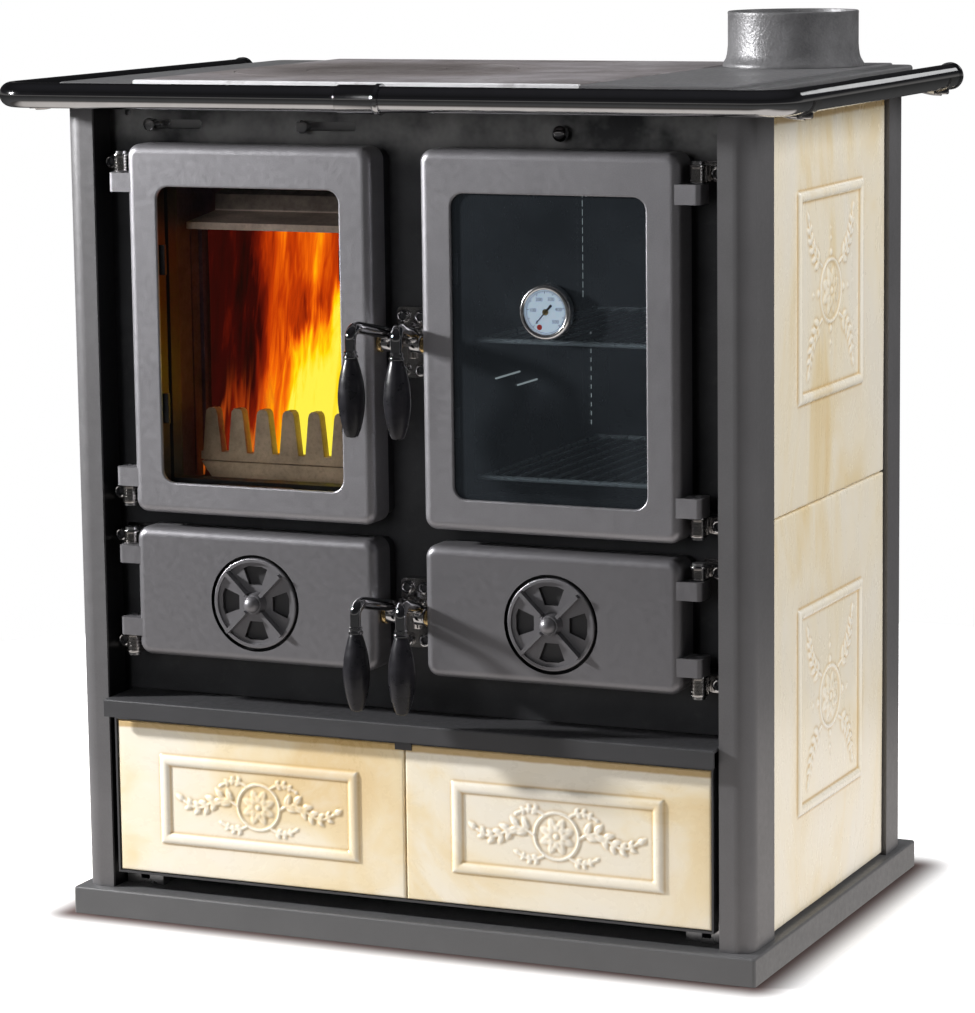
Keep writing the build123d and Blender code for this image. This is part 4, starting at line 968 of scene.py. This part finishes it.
for zp in (605.0, 334.0):
    for s in (-1, 1):
        for z in (zp + 24, zp - 29):
            add_lathe(bm, [(0, 0.2), (3.45, 0.2), (3.45, 1.6), (0, 1.6)], (s * 9.5, -200.1, z), "-Y", 6)
finish_piece("screw_sockets", bm, M["needle"], "cookstove")

# keepers: stamped plate with rolled edges and two catch bars
bm = bmesh.new()
for zp in (605.0, 334.0):
    add_box(bm, -17, 17, -200, -186.3, zp - 37, zp + 33, 4.5, 4, only=1)
    for s in (-1, 1):
        x0, x1 = sorted((s * 9, s * 16.5))
        add_box(bm, x0, x1, -211, -199.5, zp + 8, zp + 14, 1.6, 3)
    add_box(bm, -4.5, 4.5, -203.5, -199.5, zp - 18, zp + 14, 1.5, 2)
finish_piece("keeper_set", bm, M["chrome_soft"], "cookstove", replaces=("latch_keepers",))

# ------------------------------------------------------------------ latches
LY = -223.0


def grip_shape(length):
    def f(t, h):
        u = min(1.0, max(0.0, -h / length))
        k = 0.22 * math.sin(math.pi * u) if 0 < u < 1 else 0.0
        q = (t % (math.pi / 4)) - math.pi / 8
        o = math.cos(math.pi / 8) / math.cos(q)
        return 1.0 - k * (1.0 - o) * 1.15
    return f


for nm, zp, s in (("firebox", 605.0, -1), ("oven", 605.0, 1), ("ash", 334.0, -1), ("cleanout", 334.0, 1)):
    body = nm + "_latch"
    bm = bmesh.new()
    # swept arm: out of the hub, forward, and round to the ferrule
    path = round_path([(s * 14, LY + 1, zp - 1), (s * 14, LY - 8, zp + 10.2), (s * 24.5, -290, zp + 23.2), (s * 24.5, -290, zp - 7)], [10, 11.0], 16)
    n = len(path)
    rad = [6.3 - 0.9 * max(0.0, (i - 0.45 * n) / (0.55 * n)) for i in range(n)]
    add_tube(bm, path, rad, 40)
    add_lathe(bm, [(0, -0.9), (6.6, -0.9), (7.3, -0.2), (7.3, 1.6), (6.7, 2.4), (5.9, 2.9), (5.9, 4.2), (6.6, 4.8), (6.6, 6.0), (5.5, 6.8), (0, 6.8)], (s * 24.5, -290, zp - 7.6), "Z", 40)
    # hub with a shoulder at each side
    a = 8.9 if s > 0 else -21.1
    add_lathe(bm, [(0, 0), (7.8, 0), (8.8, 0.8), (9.2, 1.8), (9.2, 10.4), (8.8, 11.4), (7.8, 12.2), (0, 12.2)], (a, LY, zp), "X", 44)
    a, b = sorted((s * 20, s * 41.5))
    add_lathe(bm, [(0, 0), (5.0, 0), (5.0, b - a), (0, b - a)], (a, LY, zp), "X", 28)
    x0, x1 = sorted((s * 10.2, s * 16))
    add_prism(bm, [(LY + 1, zp - 5), (-205, zp - 5), (-203.5, zp - 3), (-203.5, zp + 4.2), (-205, zp + 5.6), (LY + 1, zp + 5.6)], x0, x1, 0.7, axis="X")
    finish_piece(nm + "_lever_arm", bm, M["chrome"], body, replaces=(nm + "_latch_lever",))
    bm = bmesh.new()
    # brass cam on the pin beside the hub
    x0, x1 = sorted((s * 21.4, s * 25.8))
    pts = []
    for i in range(28):
        t = 2 * math.pi * i / 28
        r = 7.6 + 2.4 * max(0.0, math.cos(t + 1.9)) ** 2
        pts.append((LY + r * math.cos(t), zp + r * math.sin(t)))
    add_prism(bm, pts, x0, x1, 0.7, axis="X")
    finish_piece(nm + "_lever_cam", bm, M["brass"], body)
    bm = bmesh.new()
    L = 77.0
    knots = [(0.0, 6.4), (-3.0, 7.4), (-11.0, 9.8), (-22.0, 12.2), (-34.0, 13.6), (-43.0, 13.6), (-53.0, 12.5), (-62.0, 10.7), (-69.0, 8.8), (-75.0, 6.6), (-77.0, 5.2)]
    prof = [(0, 0), (5.8, 0), (6.5, -0.3)]
    for i in range(1, 60):
        h = -L * i / 60
        for (h0, r0), (h1, r1) in zip(knots[:-1], knots[1:]):
            if h1 <= h <= h0:
                q = (h0 - h) / (h0 - h1)
                prof.append((r0 + (r1 - r0) * q, h))
    for _ in range(3):
        prof = prof[:3] + [((prof[i - 1][0] + 2 * prof[i][0] + prof[i + 1][0]) / 4, prof[i][1]) for i in range(3, len(prof) - 1)] + prof[-1:]
    prof += [(3.4, -L + 0.1), (1.6, -L), (0, -L)]
    add_lathe(bm, prof, (s * 24.5, -290, zp - 8.4), "Z", 96, shape=grip_shape(L), phase=math.pi / 8)
    finish_piece(nm + "_grip_spindle", bm, M["grip"], body, smooth=50, replaces=(nm + "_latch_grip",))

# --------------------------------------------------------------- thermometer
TX, TZ = 161.25, 643.0
bm = bmesh.new()
prof = [(0.0, 0.0), (26.2, 0.0), (26.9, 0.8), (27.0, 6.5), (26.7, 8.4), (26.0, 10.2), (25.0, 11.3), (24.0, 11.7), (23.0, 11.5), (22.2, 10.9), (21.6, 10.0), (21.3, 8.8), (21.2, 7.2), (0.0, 7.2)]
add_lathe(bm, prof, (TX, -236.5, TZ), "-Y", 96)
add_lathe(bm, [(0, 0), (3.5, 0), (3.5, 30.5), (2.2, 31.5), (0, 31.5)], (TX, -236.4, TZ), "Y", 24)
finish_piece("thermometer_bezel", bm, M["bezel"], "oven_door", replaces=("thermometer_case",))
bm = bmesh.new()
add_lathe(bm, [(0, 0), (21.1, 0), (21.1, 0.35), (0, 0.35)], (TX, -243.8, TZ), "-Y", 96)
finish_piece("thermometer_dial", bm, M["dial"], "oven_door")
bm = bmesh.new()
add_lathe(bm, [(0, 0), (21.5, 0), (21.5, 0.5), (15, 0.9), (8, 1.15), (0, 1.2)], (TX, -246.6, TZ), "-Y", 72)
finish_piece("thermometer_lens", bm, M["lens"], "oven_door")
ink = bmesh.new()
A0, A1, NT = 228.0, 228.0 - 270.0, 50
for i in range(NT + 1):
    a = math.radians(A0 + (A1 - A0) * i / NT)
    major = i % 5 == 0
    r0, r1, w = (17.8 if major else 18.7), 19.8, (0.34 if major else 0.16)
    ux, uz, vx, vz = math.cos(a), math.sin(a), -math.sin(a), math.cos(a)
    poly = [(TX + r0 * ux + w * vx, TZ + r0 * uz + w * vz), (TX + r1 * ux + w * vx, TZ + r1 * uz + w * vz),
            (TX + r1 * ux - w * vx, TZ + r1 * uz - w * vz), (TX + r0 * ux - w * vx, TZ + r0 * uz - w * vz)]
    add_prism(ink, poly, -244.29, -244.15)
for r in (20.2,):
    add_lathe(ink, [(r - 0.18, 0), (r + 0.18, 0), (r + 0.18, 0.14), (r - 0.18, 0.14)], (TX, -244.15, TZ), "-Y", 96, loop=True)
finish_piece("thermometer_ticks", ink, M["ink"], "oven_door", weld=False)
numbers = []
for i in range(0, 6):
    a = math.radians(A0 + (A1 - A0) * i / 5)
    cu = bpy.data.curves.new(f"num{i}", "FONT")
    cu.body = str(i * 100)
    cu.size = 4.9 * MM
    cu.align_x = "CENTER"
    cu.align_y = "CENTER"
    cu.extrude = 0.06 * MM
    to = bpy.data.objects.new(f"num{i}", cu)
    scene.collection.objects.link(to)
    to.rotation_euler = (math.pi / 2, 0, 0)
    to.location = ((TX + 13.6 * math.cos(a)) * MM, -244.23 * MM, (TZ + 13.6 * math.sin(a)) * MM)
    numbers.append(to)
bpy.context.view_layer.update()
dep = bpy.context.evaluated_depsgraph_get()
bm = bmesh.new()
for to in numbers:
    me = bpy.data.meshes.new_from_object(to.evaluated_get(dep))
    me.transform(to.matrix_world)
    bm.from_mesh(me)
    bpy.data.meshes.remove(me)
for to in numbers:
    cu = to.data
    bpy.data.objects.remove(to)
    bpy.data.curves.remove(cu)
finish_piece("thermometer_numbers", bm, M["ink"], "oven_door")
# round red mark low on the left of the scale
bm = bmesh.new()
add_lathe(bm, [(0, 0), (2.7, 0), (2.7, 0.14), (0, 0.14)], (TX + 16.2 * math.cos(math.radians(246)), -244.15, TZ + 16.2 * math.sin(math.radians(246))), "-Y", 32)
finish_piece("thermometer_red_mark", bm, M["red_ink"], "oven_door")
bm = bmesh.new()
a = math.radians(228)
ux, uz, vx, vz = math.cos(a), math.sin(a), -math.sin(a), math.cos(a)
P = lambda u, v: (TX + u * ux + v * vx, TZ + u * uz + v * vz)
add_prism(bm, [P(-9.4, 0.7), P(-8.9, 1.25), P(-2, 0.95), P(0, 0.6), P(13, 0.3), P(15.6, 0.0), P(13, -0.3), P(0, -0.6), P(-2, -0.95), P(-8.9, -1.25), P(-9.4, -0.7)], -245.6, -244.9, 0.1)
finish_piece("needle_blade", bm, M["needle"], "thermometer_needle", replaces=("thermometer_needle",))
bm = bmesh.new()
add_lathe(bm, [(0, 0), (3.1, 0), (3.1, 0.9), (2.4, 1.4), (1.2, 1.6), (0, 1.65)], (TX, -244.6, TZ), "-Y", 32)
finish_piece("needle_hub", bm, M["gold"], "thermometer_needle")

# ------------------------------------------------- sliders and the pull rod
for nm, x in (("left", -290.0), ("right", -118.0)):
    z = 813.0
    bm = bmesh.new()
    add_box(bm, x - 34, x + 64, -182.4, -180.4, z - 11, z + 11, 0.6)
    add_lathe(bm, [(0, 0), (3.0, 0), (3.0, 8), (3.6, 8.6), (4.6, 12), (6.2, 17.5), (6.6, 19.0), (6.0, 20.2), (4.2, 20.9), (0, 21.1)], (x, -181.0, z), "-Y", 40)
    finish_piece(f"slider_{nm}_plate_and_knob", bm, M["zinc"], f"air_slider_{nm}", replaces=(f"air_slider_{nm}",))
bm = bmesh.new()
add_lathe(bm, [(0, -346), (4, -346), (4, -9.5), (6.0, -9.3), (6.0, -6.5), (4.3, -6.2)] + [(8.0 * math.cos(t), 1.0 + 8.0 * math.sin(t)) for t in (x * D2R for x in range(-55, 90, 12))] + [(0, 9.0)], (158.0, -196.0, 810.0), "-Y", 48)
add_box(bm, 103, 213, 60, 200, 803.5, 807.0, 0.6)
finish_piece("bypass_pull", bm, M["chrome"], "bypass_rod", replaces=("bypass_rod",))

# small raised-head screws that hold the front panel and the rear sheet
bm = bmesh.new()
for x, z in ((-322, 824), (322, 824)):
    add_lathe(bm, [(0, 0), (3.2, 0), (3.1, 0.8), (2.3, 1.5), (1.2, 1.8), (0.8, 1.1), (0, 1.0)], (x, -186.0, z), "-Y", 24)
for x in (-320, -160, 0, 160, 320):
    for z in (42, 430, 815):
        add_lathe(bm, [(0, 0), (3.8, 0), (3.7, 1.0), (2.8, 1.8), (1.3, 2.1), (0.9, 1.3), (0, 1.2)], (x, 225.0, z), "Y", 24)
finish_piece("panel_screws", bm, M["zinc"], "cookstove")
# pressed stiffening beads in the rear sheet
bm = bmesh.new()
for z in (150, 300, 560, 700):
    add_box(bm, -270, 270, 224.0, 227.0, z - 9, z + 9, 2.6, 4)
finish_piece("rear_sheet_beads", bm, M["back"], "cookstove")

# --------------------------------------------------------------- fire and logs
def veil(name, x0, x1, z0, z1, y, amp, mat, k):
    bm = bmesh.new()
    nx, nz = 48, 44
    for side in (0, 1):
        rows = []
        for a in range(nx + 1):
            x = x0 + (x1 - x0) * a / nx
            row = []
            for b in range(nz + 1):
                z = z0 + (z1 - z0) * b / nz
                yy = y + amp * (0.6 * math.sin(x * 0.05 + k) + 0.4 * math.sin(z * 0.03 + x * 0.02 + k * 2)) + (0.6 if side else 0.0)
                row.append(bm.verts.new((x * MM, yy * MM, z * MM)))
            rows.append(row)
        for a in range(nx):
            for b in range(nz):
                bm.faces.new([rows[a][b], rows[a + 1][b], rows[a + 1][b + 1], rows[a][b + 1]])
        if side == 0:
            first = rows
        else:
            for a in range(nx):
                bm.faces.new([first[a][0], rows[a][0], rows[a + 1][0], first[a + 1][0]])
                bm.faces.new([first[a][nz], first[a + 1][nz], rows[a + 1][nz], rows[a][nz]])
            for b in range(nz):
                bm.faces.new([first[0][b], first[0][b + 1], rows[0][b + 1], rows[0][b]])
                bm.faces.new([first[nx][b], rows[nx][b], rows[nx][b + 1], first[nx][b + 1]])
    finish_piece(name, bm, mat, "cookstove", smooth=60)


veil("fire_veil_deep", -285.0, -45.0, 443.5, 705.0, -89.0, 2.0, flame_wall("flame_wall"), 0.7)
veil("fire_veil_front", -287.6, -42.4, 443.5, 640.0, -107.5, 2.0, flame_lick("flame_lick"), 2.1)
bm = bmesh.new()
for k, (y, z, r, x0, x1, tilt) in enumerate(((-54, 472, 27, -268, -62, -5), (2, 470, 24, -260, -66, 3), (-26, 516, 22, -255, -74, 6), (48, 468, 22, -250, -70, -3))):
    pts = [(x0 + (x1 - x0) * i / 18, y + 3 * math.sin(i * 0.7 + k), z + tilt * (i / 18 - 0.5) * 2 + 2 * math.sin(i + k)) for i in range(19)]
    rad = [r * (1 + 0.05 * math.sin(i * 1.7 + k) + 0.03 * math.sin(i * 3.1)) * (0.93 if i in (0, 18) else 1) for i in range(19)]
    add_tube(bm, pts, rad, 28)
finish_piece("firewood", bm, M["log"], "cookstove", smooth=50)

# -------------------------------------------------------- CAD pieces' finishes
for n in ("plinth", "hob_frame"):
    dress(n, M["paint"])
for n in ("sill_shelf", "drawer_front"):
    dress(n, M["sill"])
dress("corner_posts", M["post"])
dress("hob_side_plate", M["paint_top"])
for n in ("firebox_door", "oven_door", "ash_door", "cleanout_door", "ash_damper", "cleanout_damper"):
    dress(n, M["door"])
for n in ("front_panel", "side_panels"):
    dress(n, M["panel"])
dress("back_panel", M["back"])
for n in ("upper_door_seats", "lower_door_seats"):
    dress(n, M["dark_cast"])
dress("hinge_pins", M["zinc"])
for n in ("firebox_door_seal", "oven_door_seal"):
    dress(n, M["rope"])
dress("firebox_glass", M["fire_glass"])
dress("oven_glass", M["oven_glass"])
for n in ("firebox_glass_clips", "oven_glass_clips"):
    dress(n, M["dark_cast"])
for n in ("ash_pan", "drawer_runners"):
    dress(n, M["zinc"])
dress("firebox_liners", M["liner"])
dress("firebox_baffle", M["baffle"])
dress("log_guard", M["guard"])
for n in ("hearth_plate", "grate"):
    dress(n, M["raw"])
dress("oven_liner", M["oven"])
dress("oven_racks", M["wire"])
dress("drawer_box", M["ash_dark"])
bm = bmesh.new()
# edge holds thin strips on the rail edges and the rack fronts; their glowing material makes them painted highlights
edge = bmesh.new()
for xa, sg in ((48.7, 1), (278.3, -1)):
    for y0, y1 in ((-184.0 + 4, -172.0 + 4), (111.0, 134.0)):
        xi = xa + sg * 2.4
        add_box(bm, min(xa, xi), max(xa, xi), y0, y1, 474.0, 594.0, 0.5)
        add_box(bm, min(xa, xi), max(xa, xi), y0, y1, 612.0, 762.0, 0.5)
        for z0, z1 in ((480.0, 590.0), (618.0, 756.0)):
            n = int((z1 - z0) / 9.5)
            for i in range(n):
                z = z0 + 9.5 * i
                ye = y0 + 1.0 if z > 600 or y0 < 0 else y1 - 1.4
                xe = xi + sg * 0.35
                add_box(edge, min(xi, xe), max(xi, xe), ye - 0.5, ye + 0.5, z, z + (6.6 if z > 600 else 4.6), 0.1)
    for z, y0, y1 in ((558.5, -112.0, -52.0), (545.2, -58.0, -8.0)):
        xi = xa + sg * 1.6
        add_box(edge, min(xa, xi), max(xa, xi), y0, y1, z - 0.8, z + 0.8, 0.3)
finish_piece("oven_wall_rails", bm, M["oven"], "cookstove")
finish_piece("oven_wall_rail_highlights", edge, M["bright_edge"], "cookstove")

# --------------------------------------------------------- floor, light, camera
g = Graph("studio_floor")
n = g.noise(2.0, 3, 0.5)
c = g.mix(n, (0.80, 0.80, 0.80), (0.83, 0.83, 0.83))
# soft contact shadow round the foot
ox = g.math("MAXIMUM", g.math("SUBTRACT", g.math("ABSOLUTE", g.axis(0)), 0.374), 0.0)
oy = g.math("MAXIMUM", g.math("SUBTRACT", g.math("ABSOLUTE", g.axis(1)), 0.249), 0.0)
away = g.math("SQRT", g.math("ADD", g.math("MULTIPLY", ox, ox), g.math("MULTIPLY", oy, oy)))
open_floor = g.fit(away, 0.0, 0.058, 0.0, 1.0, smooth=True)
c = g.mix(open_floor, (0.10, 0.070, 0.066), c)
df = g.node("ShaderNodeBsdfDiffuse", {"Color": c}).outputs[0]
em = g.node("ShaderNodeEmission", {"Color": (1, 1, 1), "Strength": g.math("MULTIPLY", open_floor, 0.55)}).outputs[0]
seen = g.node("ShaderNodeAddShader", {0: df, 1: em}).outputs[0]
sx, sy = g.math("ABSOLUTE", g.axis(0)), g.math("ABSOLUTE", g.axis(1))
near = g.math("MULTIPLY", g.fit(sy, 0.66, 1.12, 1.0, 0.0, smooth=True), g.fit(sx, 0.80, 1.35, 1.0, 0.0, smooth=True))
glow = g.node("ShaderNodeEmission", {"Color": (1.0, 0.94, 0.89), "Strength": g.fit(near, 0.0, 1.0, 0.08, 0.76)}).outputs[0]
g.done(g.node("ShaderNodeMixShader", {0: g.node("ShaderNodeLightPath").outputs["Is Camera Ray"], 1: glow, 2: seen}).outputs[0])
bm = bmesh.new()
bmesh.ops.create_circle(bm, cap_ends=True, segments=96, radius=1.55)
bmesh.ops.translate(bm, verts=bm.verts, vec=(0, 0, -0.0003))
me = bpy.data.meshes.new("studio_floor")
bm.to_mesh(me)
bm.free()
floor = bpy.data.objects.new("studio_floor", me)
scene.collection.objects.link(floor)
me.materials.append(g.m)

world = bpy.data.worlds.new("studio")
scene.world = world
world.use_nodes = True
wt = world.node_tree
wt.nodes.clear()
wo = wt.nodes.new("ShaderNodeOutputWorld")
tc = wt.nodes.new("ShaderNodeTexCoord")
sp = wt.nodes.new("ShaderNodeSeparateXYZ")
wt.links.new(tc.outputs["Generated"], sp.inputs[0])
rp = wt.nodes.new("ShaderNodeValToRGB")
mr = wt.nodes.new("ShaderNodeMapRange")
mr.inputs["From Min"].default_value = -0.6
mr.inputs["From Max"].default_value = 0.9
wt.links.new(sp.outputs[2], mr.inputs["Value"])
wt.links.new(mr.outputs["Result"], rp.inputs["Fac"])
el = rp.color_ramp.elements
el[0].position, el[0].color = 0.0, (0.10, 0.10, 0.10, 1)
el[1].position, el[1].color = 0.36, (0.030, 0.030, 0.030, 1)
for p, cc in ((0.40, (0.16, 0.155, 0.15, 1)), (0.48, (0.020, 0.020, 0.022, 1)), (0.72, (0.012, 0.012, 0.013, 1)), (1.0, (0.024, 0.024, 0.027, 1))):
    e = el.new(p)
    e.color = cc
env = wt.nodes.new("ShaderNodeBackground")
wt.links.new(rp.outputs["Color"], env.inputs["Color"])
env.inputs["Strength"].default_value = 1.0
white = wt.nodes.new("ShaderNodeBackground")
white.inputs["Color"].default_value = (1, 1, 1, 1)
white.inputs["Strength"].default_value = 1.0
lp = wt.nodes.new("ShaderNodeLightPath")
mx = wt.nodes.new("ShaderNodeMixShader")
wt.links.new(lp.outputs["Is Camera Ray"], mx.inputs[0])
wt.links.new(env.outputs[0], mx.inputs[1])
wt.links.new(white.outputs[0], mx.inputs[2])
wt.links.new(mx.outputs[0], wo.inputs["Surface"])


def softbox(name, at, aim, sx, sy, power, color=(1, 1, 1), glossy=True):
    li = bpy.data.lights.new(name, "AREA")
    li.shape = "RECTANGLE"
    li.size, li.size_y = sx, sy
    li.energy = power
    li.color = color
    ob = bpy.data.objects.new(name, li)
    scene.collection.objects.link(ob)
    ob.visible_glossy = glossy
    ob.location = at
    d = Vector(aim) - Vector(at)
    ob.rotation_euler = d.to_track_quat("-Z", "Y").to_euler()
    return ob


key = softbox("key_left", (-1.80, -0.90, 1.20), (0.0, -0.25, 0.56), 0.13, 0.17, 78)
# the key light stands close to the left side, so a broad fill lights those tiles in its place
skips = bpy.data.collections.new("key_light_skips")
for n in ("side_tile_left_upper", "side_tile_left_lower"):
    skips.objects.link(PIECES[n])
for c in skips.collection_objects:
    c.light_linking.link_state = "EXCLUDE"
key.light_linking.receiver_collection = skips
softbox("left_fill", (-3.0, 0.45, 1.90), (-0.3, 0.0, 0.62), 0.9, 1.8, 72, glossy=False)
softbox("front_fill", (-0.2, -3.6, 1.15), (0.0, -0.2, 0.45), 1.6, 1.2, 36, glossy=False)
softbox("right_fill", (2.95, 0.30, 1.90), (0.3, 0.0, 0.62), 0.9, 1.8, 86, glossy=False)
softbox("overhead", (0.1, -0.1, 3.1), (0.0, 0.0, 0.8), 1.6, 1.4, 31, glossy=False)
softbox("rear_fill", (-0.8, 3.2, 1.9), (0.0, 0.0, 0.4), 2.0, 1.6, 40, glossy=False)
glint = softbox("rail_glint", (0.92, 3.3, 1.86), (0.41, 0.0, 0.85), 0.75, 0.55, 1.0)
glint.visible_diffuse = False

yaw, pitch, roll, f_px = 0.42160064536157665, 0.160680763307952, -0.012626357674124091, 3811.8236826232937
back = Vector((math.sin(yaw) * math.cos(pitch), -math.cos(yaw) * math.cos(pitch), math.sin(pitch)))
fwd = -back
right = fwd.cross(Vector((0, 0, 1))).normalized()
up = right.cross(fwd)
r2 = right * math.cos(roll) + up * math.sin(roll)
u2 = up * math.cos(roll) - right * math.sin(roll)
cam = bpy.data.cameras.new("photo_view")
cam.sensor_fit = "AUTO"
cam.sensor_width = 36.0
cam.lens = f_px * 36.0 / 1013.0
cam.clip_start, cam.clip_end = 0.05, 60.0
co = bpy.data.objects.new("photo_view", cam)
scene.collection.objects.link(co)
from mathutils import Matrix
mat = Matrix(((r2.x, u2.x, -fwd.x, 1.5913824246), (r2.y, u2.y, -fwd.y, -3.5744394625), (r2.z, u2.z, -fwd.z, 1.0430556037), (0, 0, 0, 1)))
co.matrix_world = mat
scene.camera = co
scene.view_settings.view_transform = "Standard"
scene.view_settings.look = "None"
scene.view_settings.exposure = 0.0
scene.view_settings.gamma = 1.0
